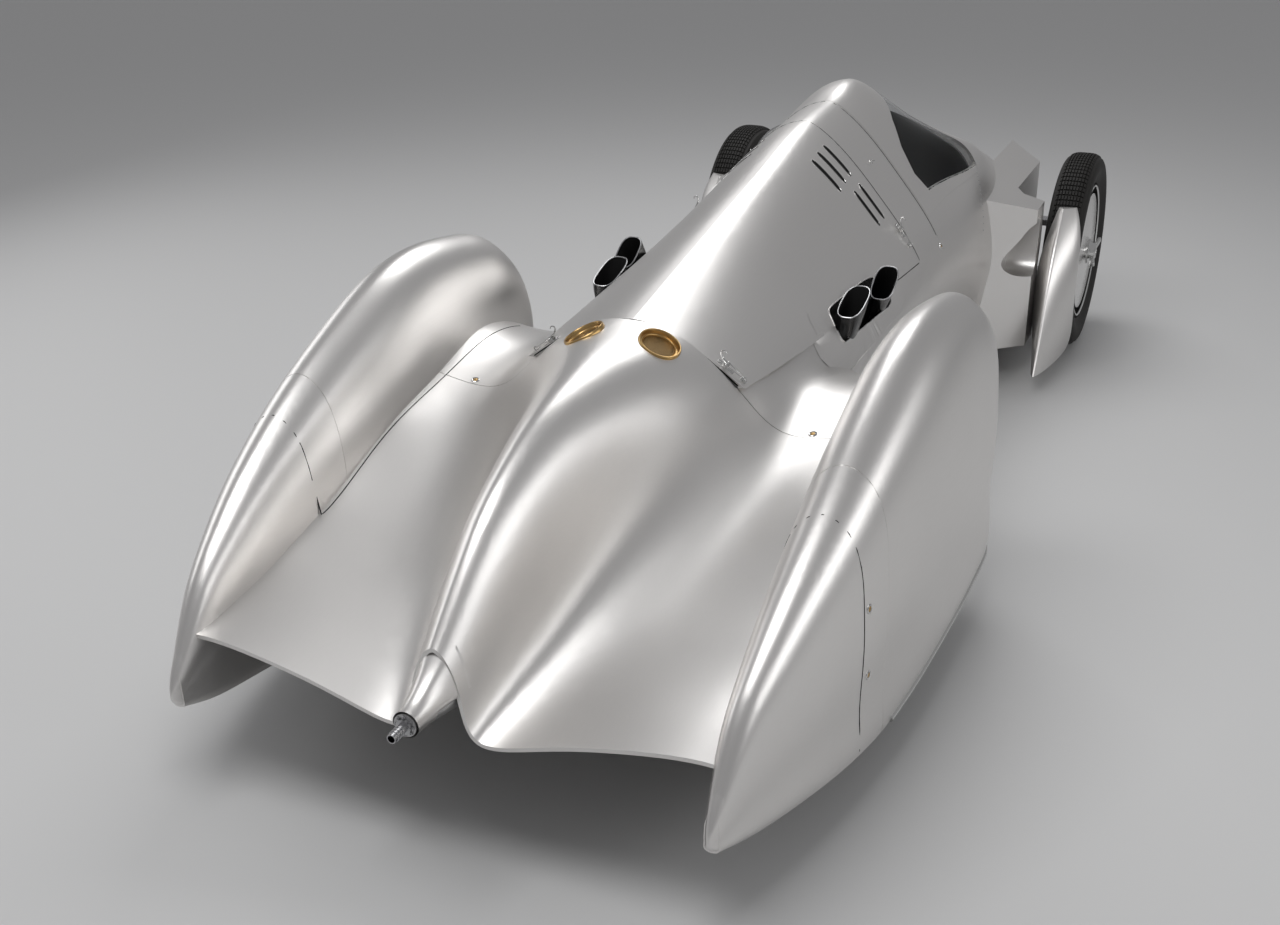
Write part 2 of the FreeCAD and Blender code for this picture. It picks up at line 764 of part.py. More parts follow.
def build_axles():
    front_z, rear_z = size("front_tyre_radius"), size("rear_tyre_radius")
    stub = size("stub_radius")
    width = size("front_tyre_width")
    post = Part.makeCylinder(size("kingpin_radius"), size("kingpin_height"),
                             Vector(front_x, kingpin_y, front_z - size("kingpin_height") / 2))
    pin = Part.makeCylinder(stub, wheel_y - kingpin_y + width * 0.44 - 3, Vector(front_x, kingpin_y, front_z),
                            Vector(0, 1, 0))
    arm = box(front_x - 150, front_x, kingpin_y - 14, kingpin_y + 14, front_z - 60, front_z - 36)
    knuckle = post.fuse(pin).fuse(arm)
    add_shape("knuckle_left", knuckle)
    add_shape("knuckle_right", mirrored(knuckle))
    add_shape("front_axle", front_axle)
    tube = rear_axle_tube(0)
    stubs = Part.makeCylinder(stub, 2 * (wheel_y + size("rear_tyre_width") * 0.44 - 3),
                              Vector(rear_x, -(wheel_y + size("rear_tyre_width") * 0.44 - 3), rear_z),
                              Vector(0, 1, 0))
    add_shape("rear_axle", tube.fuse(stubs).cut(doc.getObject("gearbox").Shape))


def build_starter():
    """The boss with its flange, and a stepped shaft that runs through it from the gearbox."""
    z = size("boss_z")
    end_x = size("boss_end_x")
    gap = size("seat_gap")
    flange = Part.makeCylinder(size("boss_end_radius"), 10, Vector(end_x + 10, 0, z), Vector(-1, 0, 0))
    body_radius = size("shaft_body_radius")
    bore = Part.makeCylinder(body_radius + gap, 400, Vector(end_x - 100, 0, z), Vector(1, 0, 0))
    add_shape("starter_boss", boss_cone(0).fuse(flange).cut(bore))
    tip = size("shaft_tip_x")
    step = tip + size("shaft_free")
    free_end = Part.makeCylinder(size("shaft_radius"), step - tip, Vector(tip, 0, z), Vector(1, 0, 0))
    body = Part.makeCylinder(body_radius, GEARBOX_TAIL_X - gap - step, Vector(step, 0, z), Vector(1, 0, 0))
    add_shape("starter_shaft", free_end.fuse(body))


def build_controls():
    rim = Part.makeTorus(165, 11, Vector(0, 0, 0), Vector(0, 0, 1))
    hub = Part.makeCylinder(36, 26, Vector(0, 0, -13))
    wheel = rim.fuse(hub)
    for turn in range(4):
        spoke = box(30, 158, -11, 11, -3, 3)
        spoke.rotate(Vector(0, 0, 0), Vector(0, 0, 1), 45 + 90 * turn)
        wheel = wheel.fuse(spoke)
    place = Placement(Vector(835, 0, 745), Rotation(Vector(0, 1, 0), -68))
    wheel.Placement = place
    add_shape("steering_wheel", wheel)
    axis = place.Rotation.multVec(Vector(0, 0, -1))
    start = place.Base + axis * 13.3
    column = Part.makeCylinder(18, 330, start, axis)
    column = column.cut(doc.getObject("dashboard").Shape)
    add_shape("steering_column", largest(column))


def build_seat():
    sides = side_prism([(640, 100), (700, 160), (690, 390), (560, 600), (480, 800), (430, 830), (415, 100)],
                       -215, 215)
    shell = sides.cut(side_prism([(1000, 262), (462, 262), (440, 900), (1000, 900)], -180, 180))
    shell = shell.common(hull_solid(SKIN + size("seat_gap")))
    add_shape("seat", largest(shell))


def build_latches():
    latches = []
    for x, y in ((279, 382), (-1015, 262)):
        for side in (1, -1):
            z = surface_z(hull, x, y)
            base = box(x - 26, x + 22, side * y - 7, side * y + 7, z - 4, z + 14)
            base = base.cut(hull)
            latches.append(largest(base))
    add_shape("cover_latches", Part.makeCompound(latches))


pod_tail = build_pods()
build_tail(pod_tail)
build_caps()
build_shoulders()
build_cover()
build_canopy()
build_hull_panels()
build_inside()
build_engine()
build_exhausts()
build_grille()
build_front_fairings()
build_wheel_fairings()
build_wheels()
build_axles()
build_starter()
build_controls()
build_seat()
build_latches()
doc.recompute()


def write_parts():
    os.makedirs("parts", exist_ok=True)
    subparts = [item for item in doc.Objects
                if item.TypeId in ("Part::Feature", "PartDesign::Body")]
    for item in doc.Objects:
        if "Invalid" in item.State or "Error" in item.State:
            raise RuntimeError("failed object: " + item.Name)
    for item in subparts:
        if item.Shape.isNull() or not item.Shape.isValid():
            raise RuntimeError("bad shape: " + item.Label)
        print(item.Label, len(item.Shape.Solids), round(item.Shape.Volume / 1000))
    for item in subparts:
        item.Shape.exportStep("parts/" + item.Label + ".step")


write_parts()
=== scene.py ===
# %% [markdown]
# A silver record car of the 1930s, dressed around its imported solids.
#
# The notebook gives the solids their finish, and adds the small things they are poor at, such as
# tread, screws, hooks and upholstery, and a few forms that they have only in a plainer shape.
# Everything is in metres: +X is the nose, +Y the car's left and +Z is up.

import json
import math

import bmesh
import bpy
from mathutils import Matrix, Vector
from mathutils.bvhtree import BVHTree


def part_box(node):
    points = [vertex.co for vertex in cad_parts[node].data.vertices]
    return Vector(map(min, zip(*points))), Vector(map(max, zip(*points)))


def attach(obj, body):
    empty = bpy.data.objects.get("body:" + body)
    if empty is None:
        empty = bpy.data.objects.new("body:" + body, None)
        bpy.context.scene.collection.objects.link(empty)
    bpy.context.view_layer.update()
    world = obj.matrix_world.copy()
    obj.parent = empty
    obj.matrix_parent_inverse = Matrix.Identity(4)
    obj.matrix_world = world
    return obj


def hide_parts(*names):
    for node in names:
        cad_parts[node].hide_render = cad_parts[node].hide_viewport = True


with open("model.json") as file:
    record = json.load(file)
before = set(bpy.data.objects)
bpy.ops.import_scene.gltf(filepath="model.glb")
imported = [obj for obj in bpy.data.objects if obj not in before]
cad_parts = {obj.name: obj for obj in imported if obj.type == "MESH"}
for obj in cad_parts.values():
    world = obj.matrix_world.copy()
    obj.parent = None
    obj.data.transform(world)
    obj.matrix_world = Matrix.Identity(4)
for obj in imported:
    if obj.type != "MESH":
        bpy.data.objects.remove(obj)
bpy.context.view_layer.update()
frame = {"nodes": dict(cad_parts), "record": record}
nodes = frame["nodes"]
SIDES = (("left", 1), ("right", -1))


def both(*names):
    """The names of the left and right node of each pair."""
    return [name + "_" + word for name in names for word, _ in SIDES]


# %% [markdown]
# The camera stands behind the right rear wheel, above eye level. Its place in metres, its angles
# in degrees and its focal length were worked out from the front wheels and the tail in the photo.

# %% The camera
CAMERA_PLACE = Vector((-4.444, -1.540, 2.232))
CAMERA_TURN, CAMERA_TILT, CAMERA_ROLL = (math.radians(angle) for angle in (-65.81, 24.87, -0.74))
FOCAL_PIXELS = 1518
IMAGE_WIDTH = 1280


def camera_axes(turn, tilt, roll):
    """The camera's right, up and back directions."""
    back = Vector((math.sin(turn) * math.cos(tilt), -math.cos(turn) * math.cos(tilt), math.sin(tilt)))
    right = Vector((math.cos(turn), math.sin(turn), 0))
    up = back.cross(right)
    rolled_right = math.cos(roll) * right + math.sin(roll) * up
    rolled_up = -math.sin(roll) * right + math.cos(roll) * up
    return rolled_right, rolled_up, back


camera_data = bpy.data.cameras.new("camera")
camera = bpy.data.objects.new("camera", camera_data)
bpy.context.scene.collection.objects.link(camera)
camera_data.sensor_width = 36
camera_data.lens = FOCAL_PIXELS * camera_data.sensor_width / IMAGE_WIDTH
camera.matrix_world = (Matrix.Translation(CAMERA_PLACE)
                       @ Matrix(camera_axes(CAMERA_TURN, CAMERA_TILT, CAMERA_ROLL)).transposed().to_4x4())
bpy.context.scene.camera = camera
print("lens:", round(camera_data.lens, 2), "mm")

# %% [markdown]
# Bare metal shows its room more than its own colour. The reflections of long soft boxes draw the
# bright bands along each fender, and the darker room between them gives the panels depth.

# %% The studio
FLOOR_SIZE = 60
FLOOR_COLOUR = (0.62, 0.62, 0.62, 1)
FLOOR_ROUGHNESS = 0.55
ROOM_COLOUR = (0.30, 0.30, 0.305, 1)
SOFT_BOXES = (
    ("over_tail", (-2.5, 0.3, 4.2), (-1.2, 0, 0.5), (3.2, 1.6), 70),
    ("over_nose", (2.4, 0.8, 4.0), (0.8, 0, 0.6), (2.4, 2.4), 60),
    ("right_side", (-0.8, -4.6, 2.2), (-0.5, 0, 0.5), (5.0, 1.4), 45),
    ("left_side", (-0.4, 4.8, 2.0), (-0.5, 0, 0.5), (5.0, 1.2), 35),
)

scene = bpy.context.scene
scene.view_settings.view_transform = "Standard"


def new_material(name):
    material = bpy.data.materials.new(name)
    material.use_nodes = True
    return material, material.node_tree, material.node_tree.nodes["Principled BSDF"]


def feed(tree, node, **sockets):
    """Gives a node's sockets their values or links. An underscore stands for a space in a name."""
    for name, value in sockets.items():
        socket = node.inputs[name.replace("_", " ")]
        if isinstance(value, bpy.types.NodeSocket):
            tree.links.new(value, socket)
        else:
            socket.default_value = value


def add(tree, kind, output, **sockets):
    """Adds a shader node, feeds its sockets and gives one of its outputs back."""
    node = tree.nodes.new("ShaderNode" + kind)
    feed(tree, node, **sockets)
    return node.outputs[output]


bpy.ops.mesh.primitive_plane_add(size=FLOOR_SIZE)
floor = bpy.context.object
floor.name = "studio_floor"
material, tree, shader = new_material("studio_floor")
feed(tree, shader, Base_Color=FLOOR_COLOUR, Roughness=FLOOR_ROUGHNESS)
floor.data.materials.append(material)


world = bpy.data.worlds.new("room")
scene.world = world
world.use_nodes = True
feed(world.node_tree, world.node_tree.nodes["Background"], Color=ROOM_COLOUR)


def soft_box(name, place, target, size, watts):
    data = bpy.data.lights.new(name, "AREA")
    data.shape = "RECTANGLE"
    data.size, data.size_y = size
    data.energy = watts
    lamp = bpy.data.objects.new(name, data)
    lamp.location = place
    lamp.rotation_euler = (Vector(target) - Vector(place)).to_track_quat("-Z", "Y").to_euler()
    scene.collection.objects.link(lamp)


for box in SOFT_BOXES:
    soft_box(*box)

# %% [markdown]
# The body is beaten sheet aluminium, rubbed by hand to a satin with fine streaks along the car.
# One node group makes the streaks and faint clouds of every bare metal.

# %% A shared group for rubbed metal
STREAK_STRETCH = (6, 260, 260)
STREAK_DETAIL = 3
CLOUD_SCALE, CLOUD_DETAIL = 2.6, 4
SHADE_SHARE = -0.35
METAL_BUMP = 0.012
BUMP_DISTANCE = 0.001


def math_node(tree, operation, *terms):
    node = tree.nodes.new("ShaderNodeMath")
    node.operation = operation
    for socket, term in zip(node.inputs, terms):
        if isinstance(term, bpy.types.NodeSocket):
            tree.links.new(term, socket)
        else:
            socket.default_value = term
    return node.outputs[0]


def bump_from(tree, height, strength):
    return add(tree, "Bump", "Normal", Height=height, Strength=strength, Distance=BUMP_DISTANCE)


def rubbed_metal_group():
    group = bpy.data.node_groups.new("rubbed_metal", "ShaderNodeTree")
    for way, name, kind in (("INPUT", "Color", "Color"), ("INPUT", "Roughness", "Float"),
                            ("INPUT", "Streaks", "Float"), ("INPUT", "Clouds", "Float"),
                            ("OUTPUT", "Color", "Color"), ("OUTPUT", "Roughness", "Float"),
                            ("OUTPUT", "Normal", "Vector")):
        group.interface.new_socket(name, in_out=way, socket_type="NodeSocket" + kind)
    given = group.nodes.new("NodeGroupInput").outputs
    result = group.nodes.new("NodeGroupOutput")
    place = add(group, "TexCoord", "Object")
    stretched = add(group, "Mapping", "Vector", Vector=place, Scale=STREAK_STRETCH)
    streak = add(group, "TexNoise", "Fac", Vector=stretched, Scale=1.0, Detail=STREAK_DETAIL)
    cloud = add(group, "TexNoise", "Fac", Vector=place, Scale=CLOUD_SCALE, Detail=CLOUD_DETAIL)
    by_streak, by_cloud = (math_node(group, "MULTIPLY", math_node(group, "SUBTRACT", noise, 0.5), given[name])
                           for noise, name in ((streak, "Streaks"), (cloud, "Clouds")))
    change = math_node(group, "ADD", by_streak, by_cloud)
    brightness = math_node(group, "ADD", math_node(group, "MULTIPLY", change, SHADE_SHARE), 1.0)
    feed(group, result, Color=add(group, "HueSaturation", "Color", Value=brightness, Color=given["Color"]),
         Roughness=math_node(group, "ADD", given["Roughness"], change),
         Normal=bump_from(group, streak, METAL_BUMP))
    return group


rubbed_metal = rubbed_metal_group()


def metal(name, colour, roughness, streaks, clouds):
    material, tree, shader = new_material(name)
    group = tree.nodes.new("ShaderNodeGroup")
    group.node_tree = rubbed_metal
    feed(tree, group, Color=(*colour, 1), Roughness=roughness, Streaks=streaks, Clouds=clouds)
    made = group.outputs
    feed(tree, shader, Metallic=1, Base_Color=made["Color"], Roughness=made["Roughness"],
         Normal=made["Normal"])
    return material


METALS = (
    ("satin_aluminium", (0.76, 0.745, 0.73), 0.36, 0.08, 0.07),
    ("dull_aluminium", (0.5, 0.5, 0.5), 0.42, 0.15, 0.15),
    ("cast_aluminium", (0.36, 0.36, 0.36), 0.55, 0.1, 0.3),
    ("steel", (0.45, 0.45, 0.46), 0.28, 0.1, 0.1),
    ("chrome", (0.66, 0.66, 0.65), 0.12, 0.02, 0.06),
    ("mesh_steel", (0.5, 0.5, 0.5), 0.3, 0.05, 0.1),
    ("brass", (0.50, 0.33, 0.14), 0.30, 0.1, 0.2),
    ("wheel_disc", (0.78, 0.77, 0.76), 0.22, 0.05, 0.08),
)
FINISHES = {name: metal(name, *values) for name, *values in METALS}

# %% [markdown]
# The rest is enamel, rubber, leather, clear plastic and fine brass gauze.

# %% Enamel, rubber, leather, clear plastic and gauze
COATS = (
    ("black_enamel", (0.012, 0.012, 0.012), 0.26, 9, 0.02, {"Coat_Weight": 0.25}),
    ("dash_black", (0.02, 0.02, 0.02), 0.4, 60, 0.1, {}),
    ("leather", (0.07, 0.04, 0.025), 0.45, 160, 0.5, {}),
    ("tyre_rubber", (0.013, 0.012, 0.011), 0.66, 120, 0.25, {"Specular_IOR_Level": 0.35}),
    # Near-black soot lines the funnels. The same coat is painted shade in the seams and louvre slits.
    ("soot_and_painted_shade", (0.006, 0.006, 0.006), 0.85, 60, 0.2, {"Specular_IOR_Level": 0.1}),
    ("dial_white", (0.75, 0.74, 0.70), 0.5, 40, 0.05, {}),
)
COAT_SPREAD = 0.06
GRAIN_DETAIL = 4
HAZE_SCALE, HAZE_DETAIL, HAZE_LIMIT = 7, 3, 0.05
GAUZE_SCALE = 130
GAUZE_GAP, GAUZE_WIRE = (0.06, 0.038, 0.018, 1), (0.27, 0.18, 0.08, 1)


def uneven(tree, shader, scale, detail, low, high):
    """Lets noise vary the roughness, and gives the noise back for a bump."""
    noise = add(tree, "TexNoise", "Fac", Vector=add(tree, "TexCoord", "Object"), Scale=scale, Detail=detail)
    feed(tree, shader, Roughness=add(tree, "MapRange", "Result", Value=noise, To_Min=low, To_Max=high))
    return noise


def plain_coat(name, colour, roughness, grain_scale, grain_depth, sockets):
    material, tree, shader = new_material(name)
    grain = uneven(tree, shader, grain_scale, GRAIN_DETAIL, roughness - COAT_SPREAD, roughness + COAT_SPREAD)
    feed(tree, shader, Normal=bump_from(tree, grain, grain_depth), Base_Color=(*colour, 1), **sockets)
    return material


def clear_plastic():
    """Blown acrylic: a thin clear sheet, so it bends light very little."""
    material, tree, shader = new_material("clear_plastic")
    feed(tree, shader, Base_Color=(0.97, 0.98, 0.98, 1), Transmission_Weight=1.0, IOR=1.1)
    uneven(tree, shader, HAZE_SCALE, HAZE_DETAIL, 0.0, HAZE_LIMIT)
    return material


def brass_mesh():
    """Fine brass gauze: two crossed waves as bump and as darker gaps."""
    material, tree, shader = new_material("brass_mesh")
    place = add(tree, "TexCoord", "Object")
    waves = []
    for direction in ("X", "Y"):
        wave = tree.nodes.new("ShaderNodeTexWave")
        wave.bands_direction = direction
        feed(tree, wave, Scale=GAUZE_SCALE, Vector=place)
        waves.append(wave.outputs["Fac"])
    weave = math_node(tree, "MAXIMUM", *waves)
    shade = tree.nodes.new("ShaderNodeMix")
    shade.data_type = "RGBA"
    feed(tree, shade, Factor=weave, A=GAUZE_GAP, B=GAUZE_WIRE)
    feed(tree, shader, Metallic=1, Roughness=0.42, Base_Color=shade.outputs["Result"],
         Normal=bump_from(tree, weave, 0.5))
    return material


for name, *values in COATS:
    FINISHES[name] = plain_coat(name, *values)
FINISHES["clear_plastic"] = clear_plastic()
FINISHES["brass_mesh"] = brass_mesh()

for subpart in frame["record"]["subparts"]:
    shown = nodes[subpart["node"]]
    shown.data.materials.clear()
    shown.data.materials.append(FINISHES[subpart["material_slot"]])
print("finishes:", len(FINISHES))

# %% [markdown]
# The details are made by turning profiles, sweeping wires, setting blocks and casting rays at the
# skin. Each helper adds its form to an open mesh, so many small things end up as a single piece.

# %% Helpers that add forms to an open mesh
def full_turn(count):
    return [2 * math.pi * number / count for number in range(count)]


def spread(start, end, count):
    """Even steps from the start to the end, both included."""
    return [start + (end - start) * number / count for number in range(count + 1)]


def turn(shape, profile, place, steps=32):
    """Turns a profile of (radius, height) pairs about the Z axis of the place."""
    rings = [[shape.verts.new(place @ Vector((r * math.cos(angle), r * math.sin(angle), h)))
              for r, h in profile] for angle in full_turn(steps)]
    for here, after in zip(rings, rings[1:] + rings[:1]):
        for low in range(len(profile) - 1):
            shape.faces.new((here[low], after[low], after[low + 1], here[low + 1]))


def wire(shape, path, radius, closed=False, steps=8):
    """Sweeps a circle along a line of points. The radius may be a list with one for each point."""
    radii = radius if isinstance(radius, list) else [radius] * len(path)
    rings, side = [], None
    for index, point in enumerate(path):
        before = path[index - 1] if index or closed else point
        after = path[(index + 1) % len(path)] if index < len(path) - 1 or closed else point
        ahead = (after - before).normalized()
        side = side or ahead.orthogonal()
        side = (side - ahead * side.dot(ahead)).normalized()
        up = ahead.cross(side)
        rings.append([shape.verts.new(point + radii[index] * (math.cos(angle) * side + math.sin(angle) * up))
                      for angle in full_turn(steps)])
    for here, after in zip(rings, rings[1:] + (rings[:1] if closed else [])):
        for step in range(steps):
            following = (step + 1) % steps
            shape.faces.new((here[step], here[following], after[following], after[step]))
    if not closed:
        shape.faces.new(rings[0])
        shape.faces.new(rings[-1])


def block(shape, low, high, place, bevel=0.0):
    """A block between two corners of the place, with its edges eased by the bevel."""
    low, high = Vector(low), Vector(high)
    fit = Matrix.Translation((low + high) / 2) @ Matrix.Diagonal((*(high - low), 1))
    made = bmesh.ops.create_cube(shape, size=1, matrix=place @ fit)
    if bevel:
        edges = list({edge for corner in made["verts"] for edge in corner.link_edges})
        bmesh.ops.bevel(shape, geom=edges, offset=bevel, segments=2, affect="EDGES", profile=0.5)


def smooth_line(points, spans=8, closed=False):
    """More points on a smooth curve through the given ones."""
    points = [Vector(point) for point in points]
    if not closed:
        points = [2 * points[0] - points[1]] + points + [2 * points[-1] - points[-2]]
    count = len(points)
    line = []
    for index in range(count if closed else count - 3):
        a, b, c, d = (points[(index + step) % count] for step in range(4))
        for step in range(spans):
            t = step / spans
            line.append(0.5 * (2 * b + (c - a) * t + (2 * a - 5 * b + 4 * c - d) * t ** 2
                               + (3 * b - a - 3 * c + d) * t ** 3))
    return line if closed else line + [points[-2]]


def grid_faces(shape, rows, closed=False):
    """Faces between rows of points. Closed rows join up with their own start."""
    if closed:
        rows = [row + row[:1] for row in rows]
    for here, after in zip(rows, rows[1:]):
        for index in range(len(here) - 1):
            shape.faces.new((here[index], here[index + 1], after[index + 1], after[index]))


def make_piece(name, shape, finish, body="root", stands_for=(), sharp=38):
    """Closes an open mesh into a piece that rides on a body and may replace solids."""
    bmesh.ops.remove_doubles(shape, verts=shape.verts, dist=1e-6)
    bmesh.ops.recalc_face_normals(shape, faces=shape.faces)
    mesh = bpy.data.meshes.new(name)
    shape.to_mesh(mesh)
    shape.free()
    mesh.shade_smooth()
    mesh.set_sharp_from_angle(angle=math.radians(sharp))
    mesh.materials.append(FINISHES[finish])
    piece = bpy.data.objects.new(name, mesh)
    scene.collection.objects.link(piece)
    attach(piece, body)
    for node in stands_for:
        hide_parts(node)
    return piece

# %% [markdown]
# A screw belongs on the skin, square to it. So the panels' faces go into a search tree, which
# gives the nearest point and its direction.

# %% Finding the skin
def skin(*names):
    points, faces = [], []
    for name in names:
        mesh = nodes[name].data
        first = len(points)
        points += [vertex.co.copy() for vertex in mesh.vertices]
        faces += [[first + index for index in face.vertices] for face in mesh.polygons]
    return BVHTree.FromPolygons(points, faces)


PANELS = ("tail_shell", *both("fender_cover", "shoulder_panel", "side_panel"), "engine_cover",
          "body_ring", "nose_cowl", "canopy", *both("axle_fairing"))
panels = skin(*PANELS)


def facing(spot, normal, ahead=Vector((1, 0, 0))):
    """A place whose Z is the normal and whose X looks ahead."""
    across = normal.cross(ahead).normalized()
    return Matrix.Translation(spot) @ Matrix((across.cross(normal), across, normal)).transposed().to_4x4()


def on_skin(point):
    spot, normal, _, _ = panels.find_nearest(Vector(point))
    return facing(spot, normal)


def from_side(x, z, side, tree):
    """The skin's point and direction as seen from straight out at one side."""
    return tree.ray_cast(Vector((x, side * 1.5, z)), Vector((0, -side, 0)))[:2]


def from_above(x, y, tree):
    return tree.ray_cast(Vector((x, y, 2)), Vector((0, 0, -1)))[:2]


print("panels in the tree:", len(PANELS))

# %% [markdown]
# The tread is a grid of small bricks. The solid is a smooth ring, so each tyre is made anew: a
# carcass that lies a few millimetres lower, and bricks that rise to the solid's surface.

# %% Tyres
GROOVE = 0.006
BRICK_SINK, BRICK_INSET = 0.001, 0.0012
BRICK_SHARE = 0.82
TREAD_SHARE = 0.86
SHOULDER = 0.44
SHOULDER_DROP = 0.02
RIM_RADIUS = {"front": 0.275, "rear": 0.25}
BRICK_GRID = {"front": (9, 104), "rear": (10, 112)}
SPIN_AXIS = Matrix.Rotation(math.radians(-90), 4, "X")


def middle_of(node):
    low, high = (Vector(corner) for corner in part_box(node))
    return (low + high) / 2, high - low


def crown(offset, width):
    """How far the tread lies below its highest ring, at an offset across it."""
    return SHOULDER_DROP * min(1.0, abs(offset) / (SHOULDER * width)) ** 4


def carcass(radius, width, rim):
    wall = [(rim, 0.37 * width), (rim + 0.014, 0.40 * width), (0.55 * rim + 0.45 * radius, 0.5 * width),
            (0.3 * rim + 0.7 * radius, 0.49 * width), (radius - SHOULDER_DROP, SHOULDER * width)]
    wall = [(point.x, point.y) for point in smooth_line([(r, y, 0) for r, y in wall], 4)]
    steps = [SHOULDER * width * (1 - number / 7) for number in range(1, 14)]
    tread = [(radius - crown(y, width) - GROOVE, y) for y in steps]
    return [(rim, 0)] + wall + tread + [(r, -y) for r, y in reversed(wall)] + [(rim, 0)]


def brick(shape, place, angles, offsets, radius, width):
    """One tread brick: its foot is sunk in the carcass and its top is a little smaller."""
    def ring(inset, sink):
        (first, last), (near, far) = angles, offsets
        trim = inset / radius
        made = []
        for angle, y in ((first + trim, near + inset), (last - trim, near + inset),
                         (last - trim, far - inset), (first + trim, far - inset)):
            reach = radius - crown(y, width) - sink
            corner = Vector((reach * math.cos(angle), reach * math.sin(angle), y))
            made.append(shape.verts.new(place @ corner))
        return made
    foot, top = ring(0, GROOVE + BRICK_SINK), ring(BRICK_INSET, 0)
    for index in range(4):
        after = (index + 1) % 4
        shape.faces.new((foot[index], foot[after], top[after], top[index]))
    shape.faces.new(top)


def make_tyre(end, word):
    node = "%s_tyre_%s" % (end, word)
    centre, (_, width, height) = middle_of(node)
    radius = height / 2
    place = Matrix.Translation(centre) @ SPIN_AXIS
    shape = bmesh.new()
    turn(shape, carcass(radius, width, RIM_RADIUS[end]), place, 128)
    columns, rows = BRICK_GRID[end]
    pitch = 2 * TREAD_SHARE * SHOULDER * width / columns
    step = 2 * math.pi / rows
    half = BRICK_SHARE / 2 * pitch
    for column in range(columns):
        middle = (column - (columns - 1) / 2) * pitch
        for angle in full_turn(rows):
            brick(shape, place, (angle, angle + BRICK_SHARE * step), (middle - half, middle + half),
                  radius, width)
    make_piece("tread_%s_%s" % (end, word), shape, "tyre_rubber", "%s_%s" % (end, word),
               stands_for=[node], sharp=30)


for end in ("front", "rear"):
    for word, _ in SIDES:
        make_tyre(end, word)
print("tread bricks:", sum(2 * columns * rows for columns, rows in BRICK_GRID.values()))

# %% [markdown]
# A smooth disc hides the spokes of each wheel. One big nut with two ears holds it, and a thin
# rolled ring closes it at the rim.

# %% Wheel nuts and disc rings
NUT = ((0.05, -0.002), (0.05, 0.004), (0.043, 0.008), (0.037, 0.012), (0.034, 0.024), (0.026, 0.03),
       (0.018, 0.031), (0.017, 0.028), (0.0, 0.028))
EAR_TURN, EAR_LEAN = 0.5, -0.22
RING_DEPTH = 0.075
DISC_RING = ((0.257, -0.001), (0.2585, 0.0025), (0.262, 0.0035), (0.2655, 0.0025), (0.267, -0.001))


def make_wheel_trim(end, word, side):
    face, size = middle_of("%s_wheel_%s" % (end, word))
    tyre_centre, tyre_size = middle_of("%s_tyre_%s" % (end, word))
    face.y = tyre_centre.y + side * SHOULDER * tyre_size.y
    place = Matrix.Translation(face) @ Matrix.Rotation(math.radians(-90 * side), 4, "X")
    shape = bmesh.new()
    turn(shape, NUT, place, 36)
    for number in range(2):
        ear = (place @ Matrix.Rotation(math.pi * number + EAR_TURN, 4, "Z")
               @ Matrix.Rotation(EAR_LEAN, 4, "Y"))
        block(shape, (0.024, -0.011, 0.008), (0.082, 0.011, 0.022), ear, 0.005)
    make_piece("wheel_nut_%s_%s" % (end, word), shape, "chrome", "%s_%s" % (end, word))
    shape = bmesh.new()
    shrink = RIM_RADIUS[end] / RIM_RADIUS["front"]
    back = Matrix.Translation((0, 0, -RING_DEPTH * size.y))
    turn(shape, [(r * shrink, h) for r, h in DISC_RING], place @ back, 96)
    make_piece("disc_ring_%s_%s" % (end, word), shape, "chrome", "%s_%s" % (end, word))


for end in ("front", "rear"):
    for word, side in SIDES:
        make_wheel_trim(end, word, side)

# %% [markdown]
# Quarter-turn screws hold the panels. Each sits in a bright dished ring and has a slotted head.
# Their places were read from the photograph on one side and are mirrored to the other.

# %% Panel screws
SCREWS = ((-1.608, 0.597, 0.512), (-1.330, 0.590, 0.610), (-1.042, 0.575, 0.670), (-1.034, 0.492, 0.666),
          (-1.030, 0.390, 0.664), (-0.760, 0.560, 0.675), (-1.000, 0.285, 0.735), (-1.628, 0.830, 0.545),
          (-1.618, 0.830, 0.370), (0.553, 0.433, 0.709), (1.240, 0.300, 0.740), (1.330, 0.420, 0.710))
RING = ((0.0065, 0.0004), (0.0075, 0.0022), (0.0095, 0.0028), (0.0115, 0.0018), (0.0125, -0.001))
DISH = ((0.0125, -0.001), (0.0, -0.001))
HEAD_RADIUS = 0.0062
HEAD_SLOT = 0.0009


def add_half_head(shape, place, side):
    """Half of a slotted head, as a low D that leaves a gap on the middle line."""
    depth = HEAD_RADIUS - HEAD_SLOT
    outline = [(HEAD_RADIUS * math.cos(angle), side * (HEAD_SLOT + depth * math.sin(angle)))
               for angle in spread(0, math.pi, 8)]
    rings = [[shape.verts.new(place @ Vector((x * scale, y * scale, height))) for x, y in outline]
             for scale, height in ((1, 0), (1, 0.0016), (0.8, 0.0024))]
    for low, high in zip(rings, rings[1:]):
        for step in range(len(outline)):
            after = (step + 1) % len(outline)
            shape.faces.new((low[step], low[after], high[after], high[step]))
    shape.faces.new(rings[-1])


rings, heads = bmesh.new(), bmesh.new()
for number, (x, y, z) in enumerate(SCREWS):
    for side in (1, -1):
        place = on_skin((x, side * y, z)) @ Matrix.Rotation(0.7 * number + side, 4, "Z")
        turn(rings, RING, place, 24)
        turn(heads, DISH, place, 24)
        for half in (1, -1):
            add_half_head(heads, place, half)
make_piece("screw_rings", rings, "chrome")
make_piece("screw_heads", heads, "brass")

print("screws:", 2 * len(SCREWS))

# %% [markdown]
# The two fillers at the front of the tail are brass dishes, each with a rolled rim, a second ring
# inside it and a floor of fine mesh. They lie where the plain solid was.

